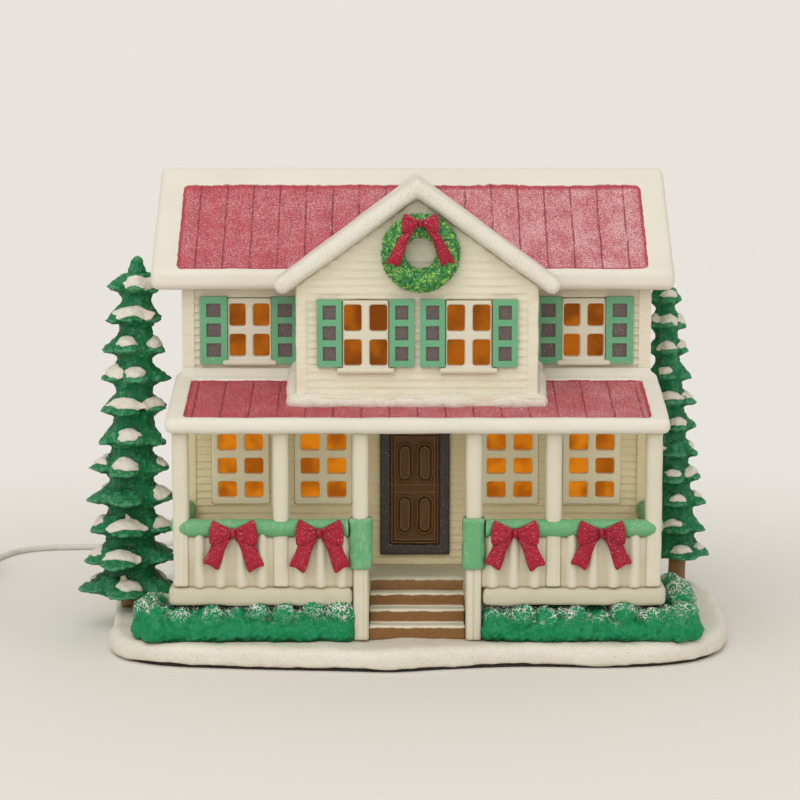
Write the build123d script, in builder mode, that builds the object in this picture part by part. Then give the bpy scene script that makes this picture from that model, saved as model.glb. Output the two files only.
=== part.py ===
"""Lit ceramic village house: a two-storey clapboard house with a porch, trees and hedges on a snow base.

A clip-in lamp with its own lead sits in the round hole in the back wall.
Millimetres, +Z up, front towards -Y.
"""
import os
from math import atan, cos, dist, pi, radians, sin, sqrt, tan

from build123d import *

os.makedirs("parts", exist_ok=True)

# Cuts
overrun = 2.0
seat_clearance = 0.1

# Snow base and felt pad
base_trunk_margin = 4.5
base_front_margin = 15.0
base_back_margin = 13.0
ground_height = 9.5
base_edge_radius = 3.5
base_rim = 14.0
base_skin = 4.0
pad_thickness = 1.2
pad_inset = 2.5
pad_width = 9.0
ground_outline_shares = (
    (0.0, -1.0), (0.17, -0.935), (0.37, -0.905), (0.56, -0.925), (0.74, -0.885), (0.87, -0.775),
    (0.955, -0.55), (0.99, -0.25), (1.0, 0.30), (0.96, 0.72), (0.80, 0.95), (0.40, 1.0), (0.0, 0.99),
    (-0.42, 1.0), (-0.82, 0.94), (-0.97, 0.66), (-1.0, 0.25), (-0.965, -0.30), (-0.93, -0.68),
    (-0.81, -0.865), (-0.64, -0.93), (-0.45, -0.97), (-0.24, -1.0),
)

# Walls
house_width = 198.0
house_depth = 84.0
wall_thickness = 3.5
front_wall_y = -16.0
board_pitch = 3.2
siding_depth = 0.7
board_tuck_share = 0.15
corner_board = 4.2
corner_proud = 1.0

# Main roof
upper_storey = 52.7
roof_drop = 11.0
roof_rise = 43.6
eave_overhang = 10.0
roof_left_overhang = 13.5
roof_right_overhang = 10.0
snow_edge_radius = 3.0
panel_recess = 0.9
panel_eave_border = 2.7
panel_ridge_border = 12.0
panel_end_border = 11.0
panel_corner_radius = 2.5
seam_pitch = 11.5
seam_width = 1.0
seam_depth = 0.6

# Gable roof and bay
gable_drop = 2.9
gable_rise = 43.2
rake_drop = 8.6
rake_overhang = 7.0
rake_side_overhang = 11.0
bay_width = 98.0
bay_depth = 34.0
bay_corner_board = 3.4
bay_ledge_rise = 14.7
bay_ledge_proud = 4.0
bay_ledge_depth = 5.0
bay_floor_rise = 1.5

# Porch roof
porch_headroom = 63.0
porch_roof_drop = 7.0
porch_roof_rise = 14.0
porch_eave_overhang = 4.0
porch_end_overhang = 4.0
porch_panel_front = 3.2
porch_panel_end = 7.5
porch_bank_depth = 6.0
porch_bank_rise = 2.2

# Porch deck and steps
deck_height = 32.0
deck_thickness = 8.2
deck_depth = 50.0
deck_overhang = 3.5
foundation_setback = 13.0
deck_edge_radius = 1.6
step_count = 4
step_run = 6.2
step_lip_radius = 1.2

# Posts
post_width = 6.8
post_corner_radius = 2.2
post_inset = 4.0
outer_post_inset = 5.5
middle_post_share = 0.577
step_post_x = 23.3
flute_radius = 0.55
flute_pitch = 1.6
flutes_per_face = 3

# Railings and garlands
rail_panel_thickness = 3.6
baluster_width = 3.4
baluster_pitch = 7.7
garland_rise = 24.4
garland_diameter = 8.2
garland_corner_radius = 6.0
sleeve_foot_rise = 7.0
sleeve_length = 22.0
sleeve_thickness = 1.4
sleeve_radius = 3.0

# Bows
bow_sleeve_gap = 0.4
bow_post_gap = 1.1
outer_bow_share = 0.466
bow_height = 20.0
bow_thickness = 2.6
bow_knot_thickness = 3.4
bow_knot_width = 5.0
bow_seat = 0.4
bow_drop = 2.6
bow_tail_thickness = 2.0
bow_knot_radius = 1.6
bow_loop_shares = (
    (0.03, 0.05), (0.21, 0.15), (0.37, 0.23), (0.43, 0.03), (0.39, -0.18), (0.22, -0.16), (0.03, -0.07),
)
bow_tail_shares = (
    (0.02, -0.05), (0.30, -0.14), (0.39, -0.36), (0.48, -0.53), (0.49, -0.66), (0.36, -0.64), (0.20, -0.74),
    (0.16, -0.56), (0.17, -0.34),
)

# Wreath
wreath_x = 1.2
wreath_drop = 30.8
wreath_ring_diameter = 22.6
wreath_rope_diameter = 9.6
wreath_lumps = 15
wreath_lump_share = 0.54
wreath_sink_share = 0.62
wreath_bow_width = 17.0
wreath_bow_height = 22.0
wreath_bow_rise = 12.0

# Door
door_x = -0.7
door_sill_rise = 4.5
door_head_gap = 1.0
door_frame_width = 30.0
door_frame_face = 4.4
door_frame_proud = 2.2
door_leaf_thickness = 1.2
door_panel_width = 7.0
door_panel_gap = 1.6
door_middle_rail = 5.6
door_end_rail = 4.55
door_panel_proud = 0.7
door_panel_rim = 1.3

# Windows
pane_width = 8.0
pane_height = 6.9
muntin = 3.4
window_frame_face = 2.8
frame_proud = 1.5
pane_corner_radius = 0.8
lower_window_shares = (-0.763, -0.404, 0.404, 0.76)
lower_window_head_gap = 3.5
upper_window_drop = 14.1
upper_window_share = 0.4424
upper_pane_height = 9.6
upper_muntin = 3.4
upper_stile = 0.9
upper_frame_face = 2.6
bay_window_drop = 13.1
bay_window_share = 0.461
bay_pane_height = 10.9
bay_frame_face = 1.9
sill_height = 2.2
sill_proud = 1.4
sill_ear = 2.0
glazing_thickness = 0.8
glazing_lap = 1.6

# Shutters
shutter_thickness = 1.8
upper_shutter_clearance = 0.25
upper_shutter_margin = 2.3
upper_shutter_height = 28.7
bay_shutter_clearance = 1.25
bay_shutter_margin = 3.1
bay_shutter_rise = 1.0
bay_shutter_height = 27.9
shutter_panels = 3
shutter_panel_pitch = 8.5
shutter_panel_height = 5.8
shutter_border_share = 0.235
shutter_panel_depth = 0.8

# Trees
tree_left_clearance = 6.0
tree_left_setback = 19.0
tree_left_lean = 5.5
tree_back_lean = 2.0
tree_left_low = 15.0
tree_left_high = 164.0
tree_left_radius = 21.5
tree_left_top_radius = 11.5
tree_right_clearance = 7.0
tree_right_setback = 12.0
tree_right_lean = 8.0
tree_right_low = 21.0
tree_right_high = 153.0
tree_right_radius = 15.5
tree_right_top_radius = 9.0
tree_tiers = 11
tree_lobes = 7
tree_tip_radius = 0.8
tree_notch_share = 0.82
tier_height_share = 1.5
tier_top_share = 0.42
tier_turn_share = 0.38
trunk_diameter = 8.0

# Hedges
hedge_height = 16.5
hedge_lump_radius = 8.6
hedge_lump_pitch = 9.0
hedge_foot_share = 0.6
hedge_front_inset = 12.0
hedge_side_inset = 14.5
hedge_step_gap = 12.7
hedge_left_run = 22.5
hedge_right_run = 62.5
hedge_swell_shares = (1.0, 0.90, 1.03, 0.93, 1.06, 0.88)

# Light hole and lamp
lamp_height = 38.0
light_hole_diameter = 32.0
lamp_clearance = 0.4
clip_flange_diameter = 39.0
clip_thickness = 1.0
clip_leg_thickness = 1.2
clip_leg_length = 12.0
clip_leg_sweep = 70.0
clip_leg_turns = (0.0, 180.0)
socket_diameter = 19.0
socket_wall = 2.6
socket_inside = 18.0
socket_outside = 5.0
socket_end_wall = 3.0
cap_length = 6.0
cap_end_diameter = 9.0
relief_length = 20.0
relief_large_diameter = 7.0
relief_small_diameter = 4.6

# Bulb
bulb_thread_clearance = 0.05
bulb_base_gap = 0.4
bulb_length = 40.0
bulb_diameter = 22.0
bulb_neck_diameter = 12.0
bulb_wall = 0.7
bulb_neck_length = 3.0
bulb_belly_share = 0.42
bulb_flare_share = 0.7
filament_wire = 0.8
filament_rise = 18.0
filament_span = 7.0
stem_diameter = 4.0
stem_length = 8.0

# Cord, in the same frame as the house
cord_diameter = 3.0
cord_bend_share = 0.45
lead_route = (
    (0.0, 100.7, 38.0), (0.0, 114.0, 38.0), (-2.5, 131.0, 32.0), (-8.0, 147.0, 23.0),
    (-17.0, 162.0, 14.0), (-29.0, 174.0, 8.5), (-43.0, 180.0, 6.5), (-56.0, 180.0, 6.5),
)
run_route = (
    (-96.0, 180.0, 6.5), (-109.0, 180.0, 6.5), (-124.0, 181.2, 3.4), (-141.0, 182.8, 1.5),
    (-159.0, 182.6, 1.5), (-177.0, 181.0, 1.5), (-193.0, 178.6, 1.5), (-204.0, 170.0, 1.5),
    (-209.5, 156.0, 1.5), (-212.5, 142.0, 2.0), (-214.0, 130.0, 2.6), (-214.0, 119.0, 2.6),
)
tail_route_steps = ((0.0, 0.0), (-14.0, 0.0), (-29.0, -3.4), (-44.0, -6.4), (-57.0, -6.4))

# Put-away coil
coil_radius = 21.0
coil_pitch = 3.6
coil_layer_pitch = 3.6
coil_layers = 4
coil_half_turns = 4
coil_points = 24
tie_width = 6.0
tie_thickness = 0.8
tie_clearance = 0.3

# In-line switch
switch_length = 40.0
switch_width = 19.0
switch_height = 13.0
switch_corner_radius = 5.0
switch_edge_radius = 1.5
wheel_diameter = 17.0
wheel_thickness = 4.4
wheel_proud = 2.2
wheel_clearance = 0.35
wheel_bore = 3.4
wheel_pin_clearance = 0.05
wheel_notches = 24
wheel_notch_radius = 0.6

# Plug
plug_length = 26.0
plug_width = 22.0
plug_height = 14.0
plug_corner_radius = 4.0
plug_grip_width = 12.0
plug_neck_length = 14.0
plug_neck_diameter = 7.0
blade_pitch = 12.7
blade_length = 16.0
blade_width = 6.3
blade_thickness = 1.5
blade_root = 5.0
blade_nose_radius = 1.2

# Places worked out from the sizes above
back_wall_y = front_wall_y + house_depth
ridge_y = front_wall_y + house_depth / 2
front_eave_y = front_wall_y - eave_overhang
back_eave_y = back_wall_y + eave_overhang
eave_run = house_depth / 2 + eave_overhang
porch_eave_height = deck_height + porch_headroom
eave_height = porch_eave_height + upper_storey
eave_top = eave_height + roof_drop
ridge_height = eave_top + roof_rise
roof_slope = roof_rise / eave_run
roof_width = house_width + roof_left_overhang + roof_right_overhang
roof_middle_x = (roof_right_overhang - roof_left_overhang) / 2
slope_length = sqrt(eave_run**2 + roof_rise**2)
front_face_y = front_wall_y - corner_proud
bay_front_y = front_wall_y - bay_depth
bay_ledge_height = porch_eave_height + bay_ledge_rise
gable_height = ridge_height - gable_drop
rake_span = bay_width + 2 * rake_side_overhang
gable_slope = gable_rise / (rake_span / 2)
wreath_height = gable_height - wreath_drop
roof_recess_drop = panel_recess / cos(atan(roof_slope))
porch_roof_width = house_width + 2 * porch_end_overhang
porch_roof_depth = deck_depth + porch_eave_overhang
porch_eave_y = front_wall_y - porch_roof_depth
porch_slope = porch_roof_rise / porch_roof_depth
porch_recess_drop = panel_recess / cos(atan(porch_slope))
deck_width = house_width + 2 * deck_overhang
deck_front_y = front_wall_y - deck_depth
post_y = deck_front_y + post_inset
outer_post_x = deck_width / 2 - outer_post_inset
middle_post_x = outer_post_x * middle_post_share
garland_height = deck_height + garland_rise
sleeve_low = deck_height + sleeve_foot_rise
sleeve_high = sleeve_low + sleeve_length
sleeve_width = post_width + 2 * sleeve_thickness
inner_bay_low = step_post_x + sleeve_width / 2 + bow_sleeve_gap
inner_bay_high = middle_post_x - post_width / 2 - bow_post_gap
bow_width = inner_bay_high - inner_bay_low
inner_bow_x = (inner_bay_low + inner_bay_high) / 2
outer_bow_x = middle_post_x + post_width / 2 + outer_bow_share * (outer_post_x - middle_post_x - post_width)
bow_xs = (-outer_bow_x, -inner_bow_x, inner_bow_x, outer_bow_x)
foundation_y = deck_front_y + foundation_setback
inner_width = house_width - 2 * wall_thickness
inner_depth = house_depth - 2 * wall_thickness
lower_window_width = 2 * pane_width + muntin + 2 * window_frame_face
lower_window_height = 3 * pane_height + 2 * muntin + 2 * window_frame_face
lower_window_z = porch_eave_height - lower_window_head_gap - lower_window_height / 2
lower_window_xs = [share * house_width / 2 for share in lower_window_shares]
upper_window_height = 2 * upper_pane_height + upper_muntin + 2 * upper_frame_face
upper_window_z = eave_height - upper_window_drop
side_window_y = ridge_y
bay_side_x = bay_width / 2 + corner_proud
upper_field = house_width / 2 - corner_board - upper_shutter_margin - bay_side_x
upper_window_x = bay_side_x + upper_field / 2
upper_window_width = upper_field * upper_window_share
upper_pane_width = (upper_window_width - upper_muntin) / 2 - upper_stile
upper_shutter_width = (upper_field - upper_window_width) / 2 - upper_shutter_clearance
bay_window_height = 2 * bay_pane_height + upper_muntin + 2 * bay_frame_face
bay_window_z = eave_height - bay_window_drop
bay_field = bay_width / 2 - bay_corner_board - bay_shutter_margin
bay_window_x = bay_field / 2
bay_window_width = bay_field * bay_window_share
bay_pane_width = (bay_window_width - upper_muntin) / 2 - upper_stile
bay_shutter_width = (bay_field - bay_window_width) / 2 - bay_shutter_clearance
tree_left_x = -house_width / 2 - tree_left_clearance - tree_left_radius
tree_left_foot = (tree_left_x, front_wall_y + tree_left_setback)
tree_left_tip = (tree_left_x + tree_left_lean, tree_left_foot[1] + tree_back_lean)
tree_right_x = house_width / 2 + tree_right_clearance + tree_right_radius
tree_right_foot = (tree_right_x, back_wall_y - tree_right_setback)
tree_right_tip = (tree_right_x - tree_right_lean, tree_right_foot[1] + tree_back_lean)
tree_left_reach = tree_left_foot[0] - tree_left_radius
tree_right_reach = tree_right_foot[0] + tree_right_radius
base_width = 2 * (base_trunk_margin + trunk_diameter / 2 - tree_left_x)
base_front_y = deck_front_y - base_front_margin
base_back_y = back_wall_y + base_back_margin
base_depth = base_back_y - base_front_y
base_middle_y = (base_front_y + base_back_y) / 2
centre_x = (tree_left_reach + tree_right_reach) / 2
cord_radius = cord_diameter / 2


def keep(piece, name):
    """Move a finished piece to the frame under the middle of the whole object and write it."""
    placed = piece.part.moved(Location((-centre_x, 0, 0)))
    placed.label = name
    export_step(placed, f"parts/{name}.step")


def ground_points(half_width, half_depth):
    """Points of the wavy closed outline of the snow ground."""
    return [(half_width * x, base_middle_y + half_depth * y) for x, y in ground_outline_shares]


def lap_boards(low, high):
    """Sawtooth of lapped boards as (outwards, up) points, from the wall's face."""
    courses = round((high - low) / board_pitch)
    step = (high - low) / courses
    teeth = [(-siding_depth, low)]
    for course in range(courses):
        teeth.append((siding_depth, low + course * step))
        teeth.append((siding_depth * board_tuck_share, low + (course + 1) * step))
    return teeth + [(-siding_depth, high)]


def window_sketch(centres, columns, rows, pane, bar, stile, rail):
    """Draw window frames with a grid of round-cornered panes round each centre."""
    width = columns * pane[0] + (columns - 1) * bar + 2 * stile
    height = rows * pane[1] + (rows - 1) * bar + 2 * rail
    with Locations(*centres):
        Rectangle(width - 2 * seat_clearance, height - 2 * seat_clearance)
    for centre in centres:
        with Locations(centre):
            with GridLocations(pane[0] + bar, pane[1] + bar, columns, rows):
                RectangleRounded(pane[0], pane[1], pane_corner_radius, mode=Mode.SUBTRACT)


def shutter_sketch(centres, width, height):
    """Draw the boards of the shutters round each centre."""
    with Locations(*centres):
        Rectangle(width, height)


def shutter_panel_sketch(centres, width):
    """Draw the three sunk panels of each shutter."""
    for centre in centres:
        with Locations(centre):
            with GridLocations(width, shutter_panel_pitch, 1, shutter_panels):
                Rectangle(width - 2 * width * shutter_border_share, shutter_panel_height)


def pair(centre, offset):
    """Centres left and right of a window."""
    return [(centre[0] - offset, centre[1]), (centre[0] + offset, centre[1])]


# Snow ground, hollow below and open under the house
with BuildPart() as snow_base:
    with BuildSketch(Plane.XY.offset(pad_thickness)):
        with BuildLine():
            Spline(*ground_points(base_width / 2, base_depth / 2), periodic=True)
        make_face()
    extrude(amount=ground_height - pad_thickness)
    fillet(snow_base.faces().sort_by(Axis.Z)[-1].edges(), base_edge_radius)
    with BuildSketch(Plane.XY.offset(pad_thickness)):
        with BuildLine():
            Spline(*ground_points(base_width / 2 - base_rim, base_depth / 2 - base_rim), periodic=True)
        make_face()
    extrude(amount=ground_height - base_skin - pad_thickness, mode=Mode.SUBTRACT)
    with BuildSketch(Plane.XY.offset(ground_height - base_skin)):
        with Locations((0, ridge_y)):
            Rectangle(inner_width, inner_depth)
    extrude(amount=base_skin, mode=Mode.SUBTRACT)
keep(snow_base, "snow_base")

with BuildPart() as felt_pad:
    with BuildSketch():
        with BuildLine():
            Spline(*ground_points(base_width / 2 - pad_inset, base_depth / 2 - pad_inset), periodic=True)
        make_face()
    extrude(amount=pad_thickness)
    with BuildSketch():
        with BuildLine():
            pad_hole = pad_inset + pad_width
            Spline(*ground_points(base_width / 2 - pad_hole, base_depth / 2 - pad_hole), periodic=True)
        make_face()
    extrude(amount=pad_thickness, mode=Mode.SUBTRACT)
keep(felt_pad, "felt_pad")

# Main roof with snow borders, sunk panels and seams on both slopes
with BuildPart() as main_roof:
    with BuildSketch(Plane.YZ.offset(roof_middle_x - roof_width / 2)):
        Polygon(
            (front_eave_y, eave_height), (front_eave_y, eave_top), (ridge_y, ridge_height),
            (back_eave_y, eave_top), (back_eave_y, eave_height), (ridge_y, ridge_height - roof_drop),
            align=None,
        )
    extrude(amount=roof_width)
    inner_ridge = Vector(roof_middle_x, ridge_y, ridge_height - roof_drop)
    snow_edges = [edge for edge in main_roof.edges() if (edge.center() - inner_ridge).length > overrun]
    fillet(snow_edges, snow_edge_radius)
    for side, eave_y in ((-1, front_eave_y), (1, back_eave_y)):
        slope_plane = Plane(
            origin=(roof_middle_x, eave_y, eave_top), x_dir=(-side, 0, 0),
            z_dir=(0, side * roof_rise, eave_run))
        panel_width = roof_width - 2 * panel_end_border
        panel_length = slope_length - panel_eave_border - panel_ridge_border
        with BuildSketch(slope_plane):
            with Locations((0, panel_eave_border)):
                RectangleRounded(
                    panel_width, panel_length, panel_corner_radius, align=(Align.CENTER, Align.MIN))
        extrude(amount=-panel_recess, mode=Mode.SUBTRACT)
        with BuildSketch(slope_plane):
            with Locations((0, panel_eave_border + panel_length / 2)):
                with GridLocations(seam_pitch, panel_length, round(panel_width / seam_pitch), 1):
                    Rectangle(seam_width, panel_length)
        extrude(amount=-panel_recess - seam_depth, mode=Mode.SUBTRACT)
keep(main_roof, "main_roof")

# Walls: clapboards, corner boards, window openings, bay opening and the light hole
with BuildPart() as house_walls:
    with BuildSketch(Plane.XY.offset(ground_height)):
        with Locations((0, ridge_y)):
            Rectangle(house_width, house_depth)
    extrude(amount=ridge_height - ground_height)
    boards = lap_boards(ground_height, ridge_height)
    with BuildSketch(Plane.YZ.offset(-house_width / 2)):
        Polygon(*[(front_wall_y - out, up) for out, up in boards], align=None)
        Polygon(*[(back_wall_y + out, up) for out, up in boards], align=None)
    extrude(amount=house_width)
    with BuildSketch(Plane.XZ.offset(-front_wall_y)):
        Polygon(*[(-house_width / 2 - out, up) for out, up in boards], align=None)
        Polygon(*[(house_width / 2 + out, up) for out, up in boards], align=None)
    extrude(amount=-house_depth)
    with BuildSketch(Plane.XY.offset(ground_height)):
        corner = corner_board + corner_proud
        with Locations((0, ridge_y)):
            corner_shift = corner_proud - corner_board
            with GridLocations(house_width + corner_shift, house_depth + corner_shift, 2, 2):
                Rectangle(corner, corner)
    extrude(amount=ridge_height - ground_height)
    with BuildSketch(Plane.XY.offset(ground_height)):
        with Locations((0, ridge_y)):
            Rectangle(inner_width, inner_depth)
    extrude(amount=ridge_height, mode=Mode.SUBTRACT)
    with BuildSketch(Plane.YZ.offset(-house_width)):
        Polygon(
            (front_eave_y, ground_height), (front_eave_y, eave_height),
            (ridge_y, ridge_height - roof_drop), (back_eave_y, eave_height),
            (back_eave_y, ground_height), align=None,
        )
    extrude(amount=2 * house_width, mode=Mode.INTERSECT)
    with BuildSketch(Plane.XZ.offset(-front_wall_y - wall_thickness)):
        with Locations(*[(x, lower_window_z) for x in lower_window_xs]):
            Rectangle(lower_window_width, lower_window_height)
        with Locations((-upper_window_x, upper_window_z), (upper_window_x, upper_window_z)):
            Rectangle(upper_window_width, upper_window_height)
        with Locations((0, bay_ledge_height)):
            Rectangle(
                bay_width - 2 * wall_thickness, eave_height - bay_ledge_height,
                align=(Align.CENTER, Align.MIN))
    extrude(amount=wall_thickness + corner_proud + overrun, mode=Mode.SUBTRACT)
    with BuildSketch(Plane.YZ.offset(-house_width)):
        with Locations((side_window_y, upper_window_z)):
            Rectangle(upper_window_width, upper_window_height)
        with Locations((side_window_y, lower_window_z)):
            Rectangle(lower_window_width, lower_window_height)
    extrude(amount=2 * house_width, mode=Mode.SUBTRACT)
    with BuildSketch(Plane.XZ.offset(-back_wall_y + wall_thickness)):
        with Locations((0, lamp_height)):
            Circle(light_hole_diameter / 2)
    extrude(amount=-wall_thickness - corner_proud - overrun, mode=Mode.SUBTRACT)
keep(house_walls, "house_walls")

# Porch roof with a snow bank along the wall, hollowed where the bay stands on it
with BuildPart() as porch_roof:
    wall_side = porch_roof_depth - corner_proud
    with BuildSketch(Plane.YZ.offset(-porch_roof_width / 2)):
        Polygon(
            (porch_eave_y, porch_eave_height), (porch_eave_y, porch_eave_height + porch_roof_drop),
            (front_face_y, porch_eave_height + porch_roof_drop + porch_slope * wall_side),
            (front_face_y, porch_eave_height + porch_slope * wall_side), align=None,
        )
    extrude(amount=porch_roof_width)
    snow_edges = [edge for edge in porch_roof.edges() if edge.center().Y < front_face_y - overrun / 2]
    fillet(snow_edges, snow_edge_radius)
    bank_foot_y = front_face_y - porch_bank_depth
    bank_top = porch_eave_height + porch_roof_drop + porch_slope * wall_side
    with BuildSketch(Plane.YZ.offset(snow_edge_radius - porch_roof_width / 2)):
        Polygon(
            (bank_foot_y, bank_top - porch_slope * porch_bank_depth),
            (front_face_y, bank_top + porch_bank_rise), (front_face_y, bank_top), align=None,
        )
    extrude(amount=porch_roof_width - 2 * snow_edge_radius)
    with BuildSketch(Plane.XY.offset(bay_ledge_height + bay_floor_rise)):
        with Locations((0, bay_front_y + wall_thickness)):
            Rectangle(bay_width - 2 * wall_thickness, bay_depth, align=(Align.CENTER, Align.MIN))
    extrude(amount=porch_roof_rise + porch_bank_rise, mode=Mode.SUBTRACT)
    porch_plane = Plane(
        origin=(0, porch_eave_y, porch_eave_height + porch_roof_drop), x_dir=(1, 0, 0),
        z_dir=(0, -porch_roof_rise, porch_roof_depth))
    porch_panel_width = porch_roof_width - 2 * porch_panel_end
    porch_panel_length = wall_side - porch_panel_front - porch_bank_depth
    with BuildSketch(porch_plane):
        with Locations((0, porch_panel_front)):
            RectangleRounded(
                porch_panel_width, porch_panel_length, panel_corner_radius, align=(Align.CENTER, Align.MIN))
    extrude(amount=-panel_recess, mode=Mode.SUBTRACT)
    with BuildSketch(porch_plane):
        with Locations((0, porch_panel_front + porch_panel_length / 2)):
            with GridLocations(seam_pitch, porch_panel_length, round(porch_panel_width / seam_pitch), 1):
                Rectangle(seam_width, porch_panel_length)
    extrude(amount=-panel_recess - seam_depth, mode=Mode.SUBTRACT)
keep(porch_roof, "porch_roof")

# Bay with its gable wall, standing on a snow ledge on the porch roof
with BuildPart() as gable_bay:
    bay_top = gable_height - rake_drop
    with BuildSketch(Plane.XY.offset(bay_ledge_height)):
        with Locations((0, bay_front_y)):
            Rectangle(bay_width, bay_depth - corner_proud, align=(Align.CENTER, Align.MIN))
    extrude(amount=bay_top - bay_ledge_height)
    bay_boards = lap_boards(bay_ledge_height, bay_top)
    with BuildSketch(Plane.YZ.offset(-bay_width / 2)):
        Polygon(*[(bay_front_y - out, up) for out, up in bay_boards], align=None)
    extrude(amount=bay_width)
    with BuildSketch(Plane.XZ.offset(-bay_front_y)):
        Polygon(*[(-bay_width / 2 - out, up) for out, up in bay_boards], align=None)
        Polygon(*[(bay_width / 2 + out, up) for out, up in bay_boards], align=None)
    extrude(amount=corner_proud - bay_depth)
    with BuildSketch(Plane.XY.offset(bay_ledge_height)):
        with Locations((0, bay_front_y + (bay_corner_board - corner_proud) / 2)):
            with GridLocations(bay_width + corner_proud - bay_corner_board, bay_corner_board, 2, 1):
                Rectangle(bay_corner_board + corner_proud, bay_corner_board + corner_proud)
    extrude(amount=bay_top - bay_ledge_height)
    with BuildSketch(Plane.XY.offset(bay_ledge_height)):
        with Locations((0, bay_front_y + wall_thickness)):
            Rectangle(bay_width - 2 * wall_thickness, bay_depth, align=(Align.CENTER, Align.MIN))
    extrude(amount=bay_top, mode=Mode.SUBTRACT)
    with BuildSketch(Plane.XZ.offset(-bay_front_y - bay_depth)):
        Polygon(
            (-bay_width, bay_ledge_height), (-bay_width, bay_top - gable_slope * bay_width), (0, bay_top),
            (bay_width, bay_top - gable_slope * bay_width), (bay_width, bay_ledge_height), align=None,
        )
    extrude(amount=2 * bay_depth, mode=Mode.INTERSECT)
    with BuildSketch(Plane.XY.offset(bay_ledge_height)):
        with Locations((0, bay_front_y - bay_ledge_proud)):
            Rectangle(
                bay_width + 2 * bay_ledge_proud, bay_depth + bay_ledge_proud - corner_proud,
                align=(Align.CENTER, Align.MIN))
    extrude(amount=-bay_ledge_depth)
    with BuildSketch(Plane.XZ.offset(-bay_front_y - wall_thickness)):
        with Locations((-bay_window_x, bay_window_z), (bay_window_x, bay_window_z)):
            Rectangle(bay_window_width, bay_window_height)
    extrude(amount=wall_thickness + corner_proud, mode=Mode.SUBTRACT)
    with BuildSketch(Plane.YZ.offset(-bay_width)):
        porch_floor = porch_eave_height + porch_roof_drop - porch_recess_drop
        Polygon(
            (porch_eave_y, porch_eave_height), (porch_eave_y, porch_floor),
            (front_wall_y, porch_floor + porch_roof_rise), (front_wall_y, porch_eave_height), align=None,
        )
    extrude(amount=2 * bay_width, mode=Mode.SUBTRACT)
    add(porch_roof.part, mode=Mode.SUBTRACT)
    add(main_roof.part, mode=Mode.SUBTRACT)
keep(gable_bay, "gable_bay")

# Gable roof with its thick rake boards, cut where it runs into the main roof
with BuildPart() as gable_roof:
    rake_end = rake_span / 2
    rake_foot = gable_height - gable_rise
    rake_cut_in = rake_drop * gable_slope * cos(atan(gable_slope)) ** 2
    rake_cut_down = rake_drop * cos(atan(gable_slope)) ** 2
    with BuildSketch(Plane.XZ.offset(-bay_front_y + rake_overhang)):
        Polygon(
            (0, gable_height), (rake_end, rake_foot), (rake_end - rake_cut_in, rake_foot - rake_cut_down),
            (0, gable_height - rake_drop), (rake_cut_in - rake_end, rake_foot - rake_cut_down),
            (-rake_end, rake_foot), align=None,
        )
    extrude(amount=bay_front_y - rake_overhang - ridge_y)
    fillet(
        [edge for edge in gable_roof.edges()
         if abs(edge.center().X) > overrun and edge.center().Y < ridge_y - overrun], snow_edge_radius)
    with BuildSketch(Plane.YZ.offset(-rake_span)):
        Polygon(
            (front_eave_y, ground_height), (front_eave_y, eave_top - roof_recess_drop),
            (ridge_y, ridge_height - roof_recess_drop), (back_eave_y, eave_top - roof_recess_drop),
            (back_eave_y, ground_height), align=None,
        )
    extrude(amount=2 * rake_span, mode=Mode.SUBTRACT)
    add(main_roof.part, mode=Mode.SUBTRACT)
keep(gable_roof, "gable_roof")

# Porch deck: foundation, overhanging floor and the notch for the steps and step posts
step_half = step_post_x - post_width / 2
step_back_y = post_y + (step_count - 1) * step_run
riser = (deck_height - ground_height) / step_count
with BuildPart() as porch_deck:
    with BuildSketch(Plane.XY.offset(ground_height)):
        with Locations((0, front_face_y)):
            Rectangle(
                deck_width - foundation_setback, front_face_y - foundation_y, align=(Align.CENTER, Align.MAX))
    extrude(amount=deck_height - deck_thickness - ground_height)
    with BuildSketch(Plane.XY.offset(deck_height - deck_thickness)):
        with Locations((0, front_face_y)):
            Rectangle(deck_width, front_face_y - deck_front_y, align=(Align.CENTER, Align.MAX))
    extrude(amount=deck_thickness)
    fillet(porch_deck.edges().group_by(Axis.Y)[0], deck_edge_radius)
    with BuildSketch(Plane.XY.offset(ground_height)):
        with Locations((0, step_back_y)):
            Rectangle(2 * step_half, step_back_y - deck_front_y + overrun, align=(Align.CENTER, Align.MAX))
        with Locations((0, post_y + post_width / 2)):
            Rectangle(
                2 * step_half + 2 * post_width, post_width / 2 + post_inset + overrun,
                align=(Align.CENTER, Align.MAX))
    extrude(amount=deck_height, mode=Mode.SUBTRACT)
keep(porch_deck, "porch_deck")

with BuildPart() as front_steps:
    for step in range(step_count - 1):
        with BuildSketch(Plane.XY.offset(ground_height + step * riser)):
            with Locations((0, step_back_y)):
                Rectangle(
                    2 * step_half, (step_count - 1 - step) * step_run, align=(Align.CENTER, Align.MAX))
        extrude(amount=riser)
        fillet(
            front_steps.edges().filter_by(Axis.X).group_by(Axis.Z)[-1].sort_by(Axis.Y)[0], step_lip_radius)
keep(front_steps, "front_steps")

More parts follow.
